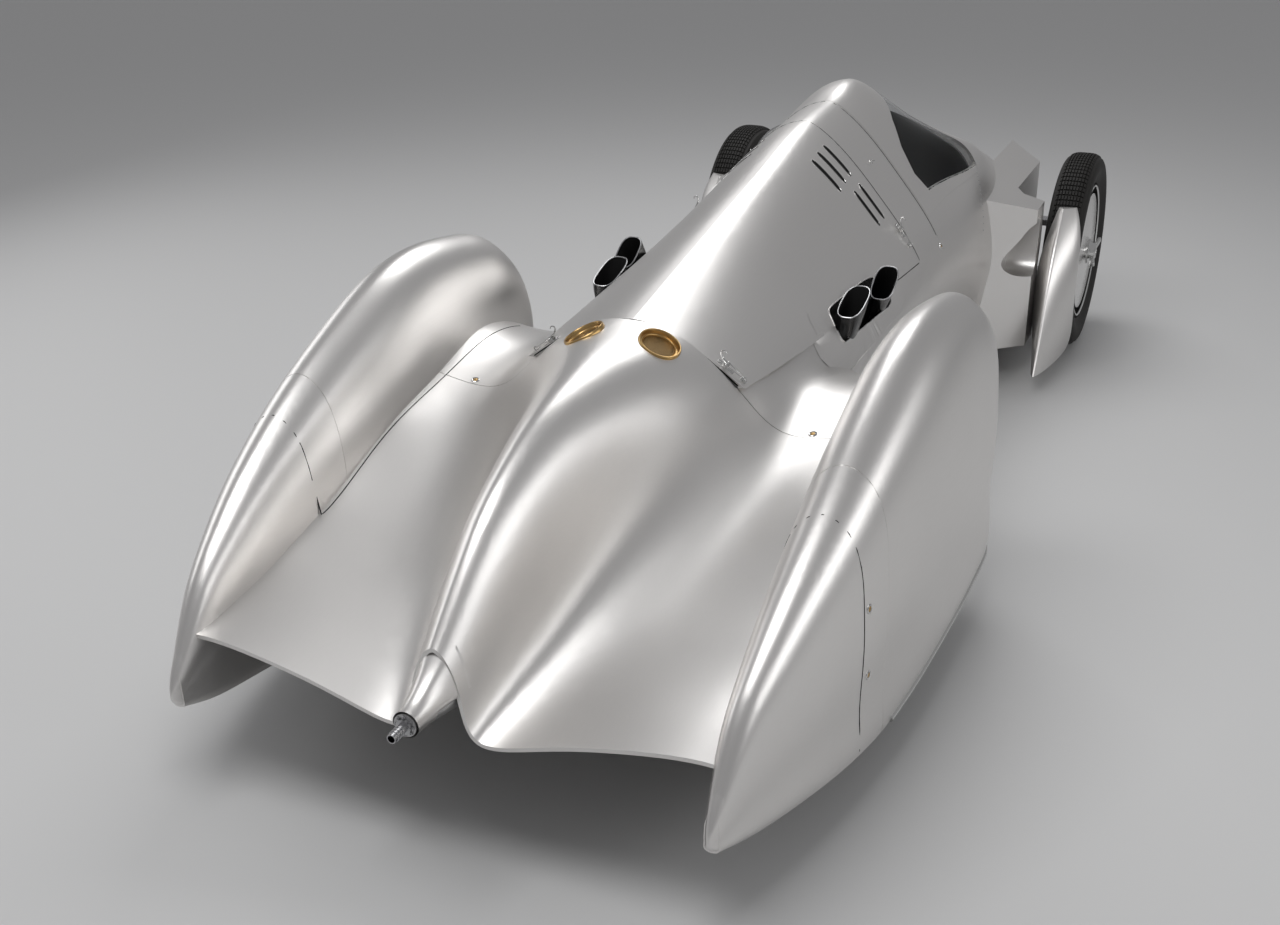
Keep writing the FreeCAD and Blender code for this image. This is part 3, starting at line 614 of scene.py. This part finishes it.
# %% Brass filler caps
CAP = ((0.0577, -0.02), (0.0577, -0.0035), (0.0568, 0.001), (0.055, 0.0028), (0.0528, 0.0026),
       (0.0512, 0.0005), (0.0505, -0.006), (0.0495, -0.0085), (0.0455, -0.009), (0.044, -0.0075),
       (0.0425, -0.009), (0.042, -0.013))
CAP_FLOOR = ((0.0425, -0.0125), (0.03, -0.0118), (0.0, -0.0112))
CAP_AXIS = Vector((-0.12, 0.42, 0.9)).normalized()
CAP_LIFT = 0.006

rims, floors = bmesh.new(), bmesh.new()
for side in (1, -1):
    island = [vertex.co for vertex in nodes["filler_caps"].data.vertices if vertex.co.y * side > 0]
    axis = Vector((CAP_AXIS.x, side * CAP_AXIS.y, CAP_AXIS.z))
    heights = [point.dot(axis) for point in island]
    centre = sum(island, Vector()) / len(island)
    centre += axis * (max(heights) + CAP_LIFT - centre.dot(axis))
    place = facing(centre, axis)
    turn(rims, CAP, place, 64)
    turn(floors, CAP_FLOOR, place, 64)
make_piece("filler_rims", rims, "brass", stands_for=["filler_caps"])
make_piece("filler_floors", floors, "brass_mesh")

# %% [markdown]
# Four toggle latches pull the engine cover down at its seams. Each has a strap with two ears, a
# lever that ends in a curl for the finger, and a wire loop that narrows to a small keeper.

# %% Toggle latches
LATCHES = ((0.287, 0.362), (-1.026, 0.262))
cover_skin = skin("engine_cover", "tail_shell", *both("side_panel"))


def bent(place, points, spans):
    return [place @ point for point in smooth_line(points, spans)]


def add_latch(shape, place):
    """A latch whose X runs down along the seam from the curl to the keeper."""
    block(shape, (-0.040, -0.0075, -0.0005), (0.012, 0.0075, 0.0015), place, 0.0006)
    block(shape, (0.034, -0.007, -0.0005), (0.052, 0.007, 0.0015), place, 0.0006)
    for side in (1, -1):
        ear = side * 0.0072
        block(shape, (-0.024, ear - 0.0009, 0.001), (-0.008, ear + 0.0009, 0.012), place, 0.0008)
        loop = ((-0.016, side * 0.0085, 0.010), (0.004, side * 0.0075, 0.0085),
                (0.024, side * 0.0045, 0.0075), (0.040, side * 0.0022, 0.007), (0.045, 0, 0.0068))
        wire(shape, bent(place, loop, 4), 0.0011, steps=6)
        turn(shape, ((0.0, 0.0032), (0.002, 0.0028), (0.0028, 0.0014), (0.0028, 0)),
             place @ Matrix.Translation((-0.034, side * 0.0042, 0)), 12)
    wire(shape, [place @ Vector((-0.016, y, 0.010)) for y in (-0.0125, 0.0125)], 0.0022, steps=10)
    lever = bent(place, ((-0.010, 0, 0.0105), (-0.022, 0, 0.0125), (-0.034, 0, 0.016), (-0.043, 0, 0.023),
                         (-0.045, 0, 0.031), (-0.039, 0, 0.036), (-0.032, 0, 0.033)), 5)
    wire(shape, lever, spread(0.0030, 0.0016, len(lever) - 1))
    hook = ((0.047, 0, 0.001), (0.0475, 0, 0.008), (0.0435, 0, 0.0105), (0.0395, 0, 0.0075))
    wire(shape, bent(place, hook, 4), 0.0017)


shape = bmesh.new()
for x, y in LATCHES:
    for side in (1, -1):
        spot, normal = from_above(x, side * y, cover_skin)
        lower, _ = from_above(x, side * (y + 0.012), cover_skin)
        add_latch(shape, facing(spot, normal, (lower - spot).normalized()))
make_piece("toggle_latches", shape, "chrome", "engine_cover", stands_for=["cover_latches"])

# %% [markdown]
# Two exhausts leave through a slot in each flank. Each is a funnel with a bright bead round its
# oval mouth. The solids have them as plain tubes, so the funnels take their place.

# %% Exhaust funnels
FUNNELS = (
    ((-0.368, 0.362, 0.600, 0.034, 0.030, 0), (-0.384, 0.378, 0.690, 0.047, 0.031, 8),
     (-0.368, 0.388, 0.748, 0.066, 0.035, 13), (-0.351, 0.391, 0.790, 0.084, 0.038, 16.5)),
    ((-0.062, 0.362, 0.600, 0.034, 0.030, 12), (-0.096, 0.390, 0.690, 0.042, 0.030, 22),
     (-0.122, 0.411, 0.748, 0.054, 0.034, 28), (-0.145, 0.425, 0.789, 0.067, 0.037, 33)),
)
MOUTH_POWER = 3.0
MOUTH_POINTS = 56
FUNNEL_WALL = 0.0045


def mouth_line(station, side, inset):
    """A rounded oval that rises to the front by its tilt."""
    x, y, z, half_length, half_width, tilt = station
    lean, line = math.radians(tilt), []
    for angle in full_turn(MOUTH_POINTS):
        along, across = (math.copysign(abs(way) ** (2 / MOUTH_POWER), way)
                         for way in (math.cos(angle), math.sin(angle)))
        reach, wide = along * (half_length - inset), across * (half_width - inset)
        line.append(Vector((x + reach * math.cos(lean), side * (y + wide), z + reach * math.sin(lean))))
    return line


def funnel_rows(shape, stations, side, inset):
    columns = zip(*(mouth_line(station, side, inset) for station in stations))
    smooth = [smooth_line(column, 5) for column in columns]
    return [[shape.verts.new(point) for point in row] for row in zip(*smooth)]


for word, side in SIDES:
    outside, soot_and_painted_shade, beads = bmesh.new(), bmesh.new(), bmesh.new()
    for stations in FUNNELS:
        rows = funnel_rows(outside, stations, side, 0)
        grid_faces(outside, rows, closed=True)
        rows = funnel_rows(soot_and_painted_shade, stations[1:], side, FUNNEL_WALL)
        grid_faces(soot_and_painted_shade, rows, closed=True)
        soot_and_painted_shade.faces.new(rows[0])
        wire(beads, mouth_line(stations[-1], side, FUNNEL_WALL / 2), FUNNEL_WALL / 2, closed=True)
    make_piece("funnels_" + word, outside, "black_enamel", stands_for=["exhaust_" + word])
    make_piece("funnel_soot_" + word, soot_and_painted_shade, "soot_and_painted_shade")
    make_piece("funnel_beads_" + word, beads, "steel")

# %% [markdown]
# A polished strip guards the lower outer edge of each rear fender. It follows the edge of the
# fender's cover, so rays from the side find where it runs.

# %% Polished fender strips
STRIP_START, STRIP_END = -1.640, -0.400
STRIP_POINTS = 22
STRIP_RISE = 0.004
STRIP_RADIUS = 0.007
FENDER_INSIDE = 0.45


def lowest_of(tree, x, side, low=0.02, high=0.5):
    """The lowest place on a panel that a ray from straight out at the side still meets."""
    for _ in range(14):
        middle = (low + high) / 2
        hit = tree.ray_cast(Vector((x, side * 1.5, middle)), Vector((0, -side, 0)), 0.9)[0]
        if hit and hit.y * side > FENDER_INSIDE:
            high = middle
        else:
            low = middle
    return high


shape = bmesh.new()
for word, side in SIDES:
    tree = skin("fender_cover_" + word)
    line = []
    for x in spread(STRIP_START, STRIP_END, STRIP_POINTS - 1):
        spot, _ = from_side(x, lowest_of(tree, x, side) + STRIP_RISE, side, tree)
        if spot:
            line.append(spot)
    print("strip", word, len(line), "points from", [round(v, 3) for v in line[0]])
    wire(shape, smooth_line(line, 3), STRIP_RADIUS, steps=12)
make_piece("fender_strips", shape, "chrome")

# %% [markdown]
# The seams show as dark lines, which are the shade in the narrow gaps between the panels. Here that
# shade is painted: a thin near-black wire on the skin, which rays find from above, from the side or
# round a fender. The wire also paints a shaded seam along a fender's foot, which the solids lack.
# Where only the solids have a seam, across a fender, a wire of the body's own metal fills it.

# %% Painted shade in the seams
SEAM_SHADE_RADIUS, SEAM_SHADE_SINK = 0.0017, 0.0006
FILL_RADIUS, FILL_SINK = 0.0013, 0.0011
COVER_FRONT, COVER_REAR = 0.310, -1.0505
COVER_EDGE = (0.722, 0.767)
COVER_SLOPE = (COVER_EDGE[1] - COVER_EDGE[0]) / (COVER_REAR - COVER_FRONT)
FLANK_SEAMS = ((COVER_FRONT, -0.025), (-0.480, COVER_REAR))
RING_REAR, RING_LOW = 0.550, 0.74
FOOT_LINE = ((-1.650, 0.640), (-1.645, 0.612), (-1.608, 0.597), (-1.330, 0.590), (-1.040, 0.575),
             (-0.800, 0.561), (-0.640, 0.560))
FENDER_SEAM, SOLID_SEAM = -1.650, -1.520
HULL_MIDDLE, HULL_REACH = (0, 0.62), (1.5, 1.2)
FENDER_MIDDLE, FENDER_REACH = (0.700, 0.430), (0.9, 0.9)
SEAM_SHADE_FROM, FILL_FROM = 0.612, 0.60
SEAM_REACH = 0.004
WIDEST_STEP = 0.03


def seam_hit(first, second):
    """The middle of two hits, one on each side of a seam."""
    if not first[0] or not second[0] or (first[0] - second[0]).length > WIDEST_STEP:
        return None, None
    return (first[0] + second[0]) / 2, (first[1] + second[1]).normalized()


def hits_round(tree, x, middle, reach, angles, side=1):
    """Seam hits of rays that aim at a middle point from an oval round it, at one place along the car."""
    y, z = middle
    hits = []
    for angle in angles:
        pair = []
        for near in (x - SEAM_REACH, x + SEAM_REACH):
            origin = Vector((near, side * (y + reach[0] * math.cos(angle)), z + reach[1] * math.sin(angle)))
            aim = (Vector((near, side * y, z)) - origin).normalized()
            pair.append(tree.ray_cast(origin, aim)[:2])
        hits.append(seam_hit(*pair))
    return [(spot, normal) for spot, normal in hits if spot]


def over_the_body(x, low_z):
    hits = hits_round(hull_skin, x, HULL_MIDDLE, HULL_REACH, spread(0, math.pi, 60))
    return [(spot, normal) for spot, normal in hits if spot.z > low_z]


def round_the_fender(tree, x, side, angles, least_y):
    angles = [math.radians(angle) for angle in angles]
    hits = hits_round(tree, x, FENDER_MIDDLE, FENDER_REACH, angles, side)
    return [(spot, normal) for spot, normal in hits if spot.y * side > least_y]


# A thin near-black wire laid in a seam: painted shade for the shadow in the gap.
def add_seam_shade(shape, hits):
    line = [spot - normal * SEAM_SHADE_SINK for spot, normal in hits if spot]
    if len(line) > 2:
        wire(shape, line, SEAM_SHADE_RADIUS, steps=6)


hull_skin = skin("engine_cover", *both("side_panel"), "body_ring", "tail_shell", "nose_cowl")
flanks = {word: skin("side_panel_" + word, "engine_cover", "shoulder_panel_" + word) for word, _ in SIDES}

shape, fills = bmesh.new(), bmesh.new()
for x, low_z in ((COVER_FRONT, COVER_EDGE[0]), (RING_REAR, RING_LOW), (COVER_REAR, COVER_EDGE[1])):
    add_seam_shade(shape, over_the_body(x, low_z))
for word, side in SIDES:
    for start, end in FLANK_SEAMS:
        heights = [(x, COVER_EDGE[0] + COVER_SLOPE * (x - COVER_FRONT)) for x in spread(start, end, 24)]
        add_seam_shade(shape, [seam_hit(from_side(x, z - SEAM_REACH, side, flanks[word]),
                                  from_side(x, z + SEAM_REACH, side, flanks[word])) for x, z in heights])
    fender = skin("fender_cover_" + word, "tail_shell", "shoulder_panel_" + word)
    add_seam_shade(shape, [seam_hit(from_above(point.x, side * (point.y - SEAM_REACH), fender),
                              from_above(point.x, side * (point.y + SEAM_REACH), fender))
                     for point in smooth_line([(x, y, 0) for x, y in FOOT_LINE], 8)])
    add_seam_shade(shape, round_the_fender(fender, FENDER_SEAM, side, spread(-75, 150, 40), SEAM_SHADE_FROM))
    filled = round_the_fender(fender, SOLID_SEAM, side, spread(-80, 155, 60), FILL_FROM)
    wire(fills, [spot - normal * FILL_SINK for spot, normal in filled], FILL_RADIUS, steps=8)
# The seam wires are painted shade, in the near-black soot coat.
make_piece("seam_painted_shade", shape, "soot_and_painted_shade")
make_piece("seam_fill", fills, "satin_aluminium")

# %% [markdown]
# The exhausts stand in a tight rounded slot with a folded bright edge. The solid's opening is much
# larger, so a collar of sheet closes it down, on a curve drawn from the flank's slope below and
# above. It is split at the engine cover's seam, and its upper part goes up with the cover.

# %% Collar round the exhausts
OPEN_EDGE = ((-0.622, 0.590), (-0.628, 0.702), (-0.552, 0.806), (-0.250, 0.799), (0.064, 0.794),
             (0.064, 0.700), (0.022, 0.651), (-0.250, 0.640))
SLOT_EDGE = ((-0.472, 0.735), (-0.452, 0.772), (-0.424, 0.787), (-0.330, 0.789), (-0.130, 0.786),
             (-0.064, 0.776), (-0.040, 0.752), (-0.034, 0.724), (-0.038, 0.703), (-0.058, 0.692),
             (-0.120, 0.694), (-0.250, 0.699), (-0.380, 0.703), (-0.466, 0.705))
SLOT_MIDDLE = (-0.255, 0.728)
COLLAR_LOW, COLLAR_HIGH = 0.572, 0.815
COLLAR_SHIFTS = (0, 0.006, -0.006, 0.014, -0.014, 0.03, -0.03, 0.05, 0.08, 0.11)
COLLAR_RINGS = 7
COLLAR_POINTS = 120
COLLAR_LIFT = 0.0006
RIM_LIMIT = 0.06
FOLD_RADIUS = 0.0021


def crossing(line, angle):
    """Where a ray from the slot's middle meets a closed line of (x, z) points."""
    (mid_x, mid_z), way_x, way_z = SLOT_MIDDLE, math.cos(angle), math.sin(angle)
    for (x0, z0), (x1, z1) in zip(line, line[1:] + line[:1]):
        edge_x, edge_z = x1 - x0, z1 - z0
        bottom = way_x * edge_z - way_z * edge_x
        if abs(bottom) < 1e-12:
            continue
        reach = ((x0 - mid_x) * edge_z - (z0 - mid_z) * edge_x) / bottom
        share = ((x0 - mid_x) * way_z - (z0 - mid_z) * way_x) / bottom
        if reach > 0 and -1e-9 <= share <= 1 + 1e-9:
            return mid_x + reach * way_x, mid_z + reach * way_z
    return SLOT_MIDDLE


def flank_y(x, z, side, tree):
    """The flank's distance from the middle plane, bridged over the opening by a cubic curve."""
    ends = []
    for height in (COLLAR_LOW, COLLAR_HIGH):
        for shift in COLLAR_SHIFTS:
            spot, normal = from_side(x + shift, height, side, tree)
            if spot and side * normal.y > 0.3:
                break
        ends.append((abs(spot.y), -normal.z / (side * normal.y)))
    span = COLLAR_HIGH - COLLAR_LOW
    t = (z - COLLAR_LOW) / span
    (low, low_slope), (high, high_slope) = ends
    return ((2 * t ** 3 - 3 * t ** 2 + 1) * low + (t ** 3 - 2 * t ** 2 + t) * span * low_slope
            + (3 * t ** 2 - 2 * t ** 3) * high + (t ** 3 - t ** 2) * span * high_slope)


def collar_rows(spokes, side, tree):
    """Rings of points from the opening's edge to the slot's. The first ring lies on the panels."""
    offsets = [0.0]
    for (x, z), _ in spokes:
        y, spot = flank_y(x, z, side, tree), from_side(x, z, side, tree)[0]
        near = spot and abs(abs(spot.y) - y) < RIM_LIMIT
        offsets.append(abs(spot.y) - y if near else offsets[-1])
    rows = []
    for share in spread(0, 1, COLLAR_RINGS):
        row = []
        for ((x0, z0), (x1, z1)), offset in zip(spokes, offsets[1:]):
            x, z = x0 + (x1 - x0) * share, z0 + (z1 - z0) * share
            y = flank_y(x, z, side, tree) + offset * (1 - share) ** 2 + COLLAR_LIFT
            row.append(Vector((x, side * y, z)))
        rows.append(row)
    return rows


folds, cover_folds = bmesh.new(), bmesh.new()
slot_line = smooth_line([(x, z, 0) for x, z in SLOT_EDGE], 6, closed=True)
slot_line = [(point.x, point.y) for point in slot_line]
spokes = [(crossing(OPEN_EDGE, angle), crossing(slot_line, angle)) for angle in full_turn(COLLAR_POINTS)]
plane_point = Vector((COVER_FRONT, 0, COVER_EDGE[0]))
plane_normal = Vector((-COVER_SLOPE, 0, 1)).normalized()
for word, side in SIDES:
    rows = collar_rows(spokes, side, flanks[word])
    for body, name, upper, fold in (("root", "exhaust_collar_", False, folds),
                                    ("engine_cover", "cover_collar_", True, cover_folds)):
        shape = bmesh.new()
        grid = [[shape.verts.new(point) for point in row] for row in rows]
        grid_faces(shape, grid, closed=True)
        everything = shape.verts[:] + shape.edges[:] + shape.faces[:]
        bmesh.ops.bisect_plane(shape, geom=everything, plane_co=plane_point, plane_no=plane_normal,
                               clear_inner=upper, clear_outer=not upper)
        make_piece(name + word, shape, "satin_aluminium", body)
        inside = [point for point in rows[-1] if ((point - plane_point).dot(plane_normal) > 0) == upper]
        start = max(range(len(inside)), key=lambda k: (inside[k] - inside[k - 1]).length)
        wire(fold, inside[start:] + inside[:start], FOLD_RADIUS)
make_piece("slot_folds", folds, "chrome")
make_piece("cover_slot_folds", cover_folds, "satin_aluminium", "engine_cover")

# %% [markdown]
# Small round rivets hold the windscreen's frame to the cowl, just ahead of the cowl's rear edge.
# Two small catches on the roof behind the canopy turn with a key.

# %% Cowl rivets and key catches
COWL_EDGE = ((0.987, 0.598), (1.020, 0.690), (1.040, 0.770), (1.046, 0.830), (1.052, 0.885))
RIVET = ((0.0, 0.0017), (0.0016, 0.0014), (0.0026, 0.0006), (0.003, -0.0005))
RIVET_AHEAD = 0.014
KEY_CATCH = (0.422, 0.208)

shape = bmesh.new()
cowl = skin("nose_cowl")
line = smooth_line([(x, 0, z) for x, z in COWL_EDGE], 4)
for side in (1, -1):
    for point in line:
        spot, normal = from_side(point.x + RIVET_AHEAD, point.z, side, cowl)
        if spot:
            turn(shape, RIVET, facing(spot, normal), 12)
make_piece("cowl_rivets", shape, "steel")


shape = bmesh.new()
for side in (1, -1):
    spot, normal = from_above(KEY_CATCH[0], side * KEY_CATCH[1], panels)
    place = facing(spot, normal, Vector((1, side * 0.5, 0)).normalized())
    turn(shape, ((0.008, -0.0005), (0.008, 0.0015), (0.0065, 0.0025), (0.003, 0.003), (0.0025, 0.006),
                 (0.0, 0.006)), place, 24)
    block(shape, (-0.012, -0.0016, 0.005), (0.012, 0.0016, 0.011), place, 0.0014)
make_piece("key_catches", shape, "chrome")

# %% [markdown]
# A louvre shows as a black slit with a fine bright lip, black from the shade inside it. So a
# near-black sheet of painted shade lies just over each slit of the solid, and a thin bead runs round it.

# %% Louvres
LOUVRES = ((0.225, 0.100, 0.225, 0.198), (0.165, 0.100, 0.165, 0.198), (0.105, 0.102, 0.105, 0.202),
           (0.232, 0.222, 0.232, 0.312), (0.175, 0.224, 0.175, 0.314))
LOUVRE_SLOT = 0.011
SLIT_SHADE_WIDTH = 0.019
SLIT_SHADE_CLEAR = 0.0125
SLIT_SHADE_LIFT = 0.0007
SLIT_SHADE_STEPS = 16
LIP_RADIUS = 0.0009

slit_shades, lips = bmesh.new(), bmesh.new()
cover = skin("engine_cover")
for side in (1, -1):
    for x0, y0, x1, y1 in LOUVRES:
        rims = [[], []]
        for share in spread(0, 1, SLIT_SHADE_STEPS):
            x = x0 + (x1 - x0) * share + LOUVRE_SLOT / 2
            y = y0 + (y1 - y0) * share
            taper = 1 - abs(2 * share - 1) ** 5
            half = SLIT_SHADE_WIDTH / 2 * max(taper, 0.06) ** 0.5
            for rim, way in zip(rims, (1, -1)):
                spot, normal = from_above(x + way * SLIT_SHADE_CLEAR, side * y, cover)
                rim.append(Vector((x + way * half, spot.y, spot.z)) + normal * SLIT_SHADE_LIFT)
        grid_faces(slit_shades, [[slit_shades.verts.new(point) for point in rim] for rim in rims])
        wire(lips, rims[0] + rims[1][::-1], LIP_RADIUS, closed=True, steps=6)
# The sheets over the slits are painted shade, in the near-black soot coat.
make_piece("louvre_painted_shade", slit_shades, "soot_and_painted_shade", "engine_cover")
make_piece("louvre_lips", lips, "chrome", "engine_cover")

# %% [markdown]
# Each fender ends in a round point like a boat's bow, where the solid has a small flat face. A
# bowl over the end starts from the fender's own section, so no step shows.

# %% Round ends of the fenders
TIP_START, TIP_END = -2.146, -2.194
TIP_CENTRE = (0.667, 0.300)
TIP_POINT = (0.665, 0.280)
TIP_STEPS = 16
TIP_POWER = 1.15
RING_POINTS = 56
RING_REACH = 0.3


def section_ring(tree, centre, side):
    """Points of a panel's outline across the car, found by rays cast inwards to a centre."""
    ring = []
    for angle in full_turn(RING_POINTS):
        out = Vector((0, side * math.cos(angle), math.sin(angle)))
        spot = tree.ray_cast(centre + RING_REACH * out, -out)[0]
        ring.append(spot or (ring[-1] if ring else centre))
    return ring


shape = bmesh.new()
tail = skin("tail_shell")
for side in (1, -1):
    start = Vector((TIP_START, side * TIP_CENTRE[0], TIP_CENTRE[1]))
    point = Vector((TIP_END, side * TIP_POINT[0], TIP_POINT[1]))
    ring = section_ring(tail, start, side)
    rows = []
    for rest in spread(1, 0, TIP_STEPS):
        scale = max(rest, 0.001) ** TIP_POWER
        centre = start.lerp(point, 1 - rest ** 2)
        rows.append([shape.verts.new(centre + (spot - start) * scale) for spot in ring])
    grid_faces(shape, rows, closed=True)
make_piece("fender_tips", shape, "satin_aluminium")

# %% [markdown]
# The solids leave a dark arch between the fin and the collar of the starter boss. This shroud
# closes it: it starts as the fin's own section and ends as the collar's circle.

# %% Shroud between the fin and the boss
SHROUD_START, SHROUD_END = -2.070, -2.2285
COLLAR_RADIUS = 0.0315
SHROUD_LIMIT = 0.128
SHROUD_UNDER = 0.052
SHROUD_POWER = 1.7
SHROUD_LIFT = 0.001
SHROUD_REACH = 0.25
SHROUD_STEPS = 18
SHAFT_Z = 0.405

shape = bmesh.new()
tail = skin("tail_shell")
centre = Vector((SHROUD_START, 0, SHAFT_Z))
ways = [Vector((0, math.cos(angle), math.sin(angle))) for angle in full_turn(RING_POINTS)]
reaches = []
for number, way in enumerate(ways):
    spot = tail.ray_cast(centre + way * SHROUD_REACH, -way, SHROUD_REACH)[0]
    above = spot and number < RING_POINTS / 2
    reaches.append(min((spot - centre).length, SHROUD_LIMIT) if above else SHROUD_UNDER)
soft = [(before + 2 * reach + after) / 4 + SHROUD_LIFT
        for before, reach, after in zip(reaches[-1:] + reaches, reaches, reaches[1:] + reaches[:1])]
rows = []
for share in spread(0, 1, SHROUD_STEPS):
    ease = 1 - (1 - share) ** SHROUD_POWER
    middle = Vector((SHROUD_START + (SHROUD_END - SHROUD_START) * share, 0, SHAFT_Z))
    rows.append([shape.verts.new(middle + way * (reach + (COLLAR_RADIUS - reach) * ease))
                 for way, reach in zip(ways, soft)])
grid_faces(shape, rows, closed=True)
make_piece("boss_shroud", shape, "satin_aluminium")

# %% [markdown]
# Eight small nuts hold the starter's flange, and three rings sit on its shaft. Boss and shaft stay
# as solids.

# %% Starter nuts and rings
BOSS_END = -2.232
SHAFT_TIP = -2.285
NUT_CIRCLE = 0.0215
BACKWARD = Matrix.Rotation(math.radians(-90), 4, "Y")

shape = bmesh.new()
face = Matrix.Translation((BOSS_END, 0, SHAFT_Z)) @ BACKWARD
for angle in full_turn(8):
    spot = face @ Matrix.Translation((NUT_CIRCLE * math.cos(angle), NUT_CIRCLE * math.sin(angle), 0))
    turn(shape, ((0.0042, -0.0005), (0.0042, 0.003), (0.0036, 0.0036), (0.002, 0.0036), (0.002, 0.0062),
                 (0.0, 0.0068)), spot, 6)
collar = Matrix.Translation((SHAFT_TIP, 0, SHAFT_Z)) @ BACKWARD
for back in (0.030, 0.021, 0.012):
    turn(shape, ((0.0108, -back - 0.002), (0.0128, -back - 0.0012), (0.0128, -back + 0.0012),
                 (0.0108, -back + 0.002)), collar, 32)
turn(shape, ((0.0108, -0.001), (0.0085, 0.0), (0.0, 0.0)), collar, 32)
make_piece("starter_nuts", shape, "steel")

# %% [markdown]
# The cockpit shows through the clear screen. Its black panel has round dials, which carry plain
# marks and no words.

# %% Instruments
DASH_REAR_X = 1.030
DIALS = ((0, 0.83, 0.052), (0.14, 0.80, 0.042), (-0.14, 0.80, 0.042), (0.25, 0.74, 0.030),
         (-0.25, 0.74, 0.030))
BEZEL = ((1.08, -0.001), (1.08, 0.007), (1.02, 0.010), (0.95, 0.009), (0.93, 0.003))

bezels, faces, marks = bmesh.new(), bmesh.new(), bmesh.new()
for number, (y, z, radius) in enumerate(DIALS):
    place = Matrix.Translation((DASH_REAR_X, y, z)) @ BACKWARD
    turn(bezels, [(radius * r, h) for r, h in BEZEL], place, 48)
    turn(faces, ((0.94 * radius, 0.0005), (0.94 * radius, 0.003), (0.0, 0.003)), place, 48)
    for tick in range(11):
        spoke = place @ Matrix.Rotation(math.radians(-135 + 27 * tick), 4, "Z")
        block(marks, (0.74 * radius, -0.0008, 0.003), (0.88 * radius, 0.0008, 0.0036), spoke)
    needle = place @ Matrix.Rotation(math.radians(-120 + 9 * number), 4, "Z")
    block(marks, (-0.15 * radius, -0.0010, 0.0045), (0.70 * radius, 0.0010, 0.0053), needle)
    turn(marks, ((0.1 * radius, 0.003), (0.1 * radius, 0.0065), (0.0, 0.0068)), place, 20)
make_piece("dial_bezels", bezels, "chrome")
make_piece("dial_faces", faces, "dash_black")
make_piece("dial_marks", marks, "dial_white")

# %% [markdown]
# The seat is a shell covered in hide with two loose pads. A pad swells towards its middle, its
# sides pull in between the corners, and sewn channels run across it.

# %% Seat shell and pads
SEAT_LINE = ((0.705, 0.262), (0.62, 0.246), (0.53, 0.248), (0.475, 0.285), (0.448, 0.36), (0.432, 0.50),
             (0.42, 0.64), (0.408, 0.79))
SEAT_HALF_WIDTH = 0.20
SEAT_SIDE = 0.11
SHELL_WALL = 0.012
PAD_GRID = 36
PAD_PULL = 0.035
BACK_UP = Vector((0.99, 0, 0.10)).normalized()
PADS = (
    ("seat_pad", Vector((0.498, -0.155, 0.254)), Vector((0.20, 0, 0.006)), Vector((0, 0.31, 0)),
     Vector((0, 0, 1)), 0.050, 5),
    ("back_pad", Vector((0.470, -0.150, 0.330)), Vector((-0.045, 0, 0.43)), Vector((0, 0.30, 0)),
     BACK_UP, 0.045, 7),
)


def double_skin(shape, both_skins):
    """Faces on two grids of points of the same size, which are joined along their edges."""
    rims = []
    for rows in both_skins:
        rows = [[shape.verts.new(point) for point in row] for row in rows]
        grid_faces(shape, rows)
        rims.append([*rows[0], *(row[-1] for row in rows[1:]), *rows[-1][-2::-1],
                     *(row[0] for row in rows[-2:0:-1])])
    outer, inner = rims
    for index in range(len(outer)):
        after = (index + 1) % len(outer)
        shape.faces.new((outer[index], outer[after], inner[after], inner[index]))


def make_seat_shell():
    line = smooth_line([(x, 0, z) for x, z in SEAT_LINE], 4)
    skins = []
    for lift in (0, -SHELL_WALL):
        rows = []
        for index, point in enumerate(line):
            along = (line[min(index + 1, len(line) - 1)] - line[max(index - 1, 0)]).normalized()
            normal = Vector((along.z, 0, -along.x)).normalized()
            ease = min(1.0, index / 6, (len(line) - 1 - index) / 6)
            row = []
            for t in spread(-1, 1, 20):
                rise = SEAT_SIDE * (0.35 + 0.65 * ease) * abs(t) ** 5 + lift
                across = Vector((0, (SEAT_HALF_WIDTH + lift) * math.sin(t * 1.35), 0))
                row.append(point + normal * rise + across)
            rows.append(row)
        skins.append(rows)
    shape = bmesh.new()
    double_skin(shape, skins)
    make_piece("seat_shell", shape, "leather", stands_for=["seat"], sharp=60)


def pad_height(u, v, upper, channels):
    """The share of its thickness that a pad has at a place on it."""
    edge = (1 - (2 * u - 1) ** 6) * (1 - (2 * v - 1) ** 6)
    if not upper:
        return -0.12 * edge ** 0.5
    swell = edge ** 0.45 * (0.72 + 0.28 * math.sin(math.pi * u) * math.sin(math.pi * v))
    return swell * (0.80 + 0.20 * abs(math.sin(math.pi * channels * u)) ** 0.35)


def make_pad(name, corner, along, across, up, thick, channels):
    """A sewn pad on a base rectangle, given its corner and its edges."""
    skins = []
    for upper in (True, False):
        rows = []
        for u in spread(0, 1, PAD_GRID):
            row = []
            for v in spread(0, 1, PAD_GRID):
                pull_u = 1 - PAD_PULL * math.sin(math.pi * v)
                pull_v = 1 - PAD_PULL * math.sin(math.pi * u)
                place = corner + along * (0.5 + (u - 0.5) * pull_u) + across * (0.5 + (v - 0.5) * pull_v)
                row.append(place + up * thick * (pad_height(u, v, upper, channels) + 0.12))
            rows.append(row)
        skins.append(rows)
    shape = bmesh.new()
    double_skin(shape, skins)
    pad = make_piece(name, shape, "leather", stands_for=["seat"], sharp=70)


make_seat_shell()
for pad in PADS:
    make_pad(*pad)
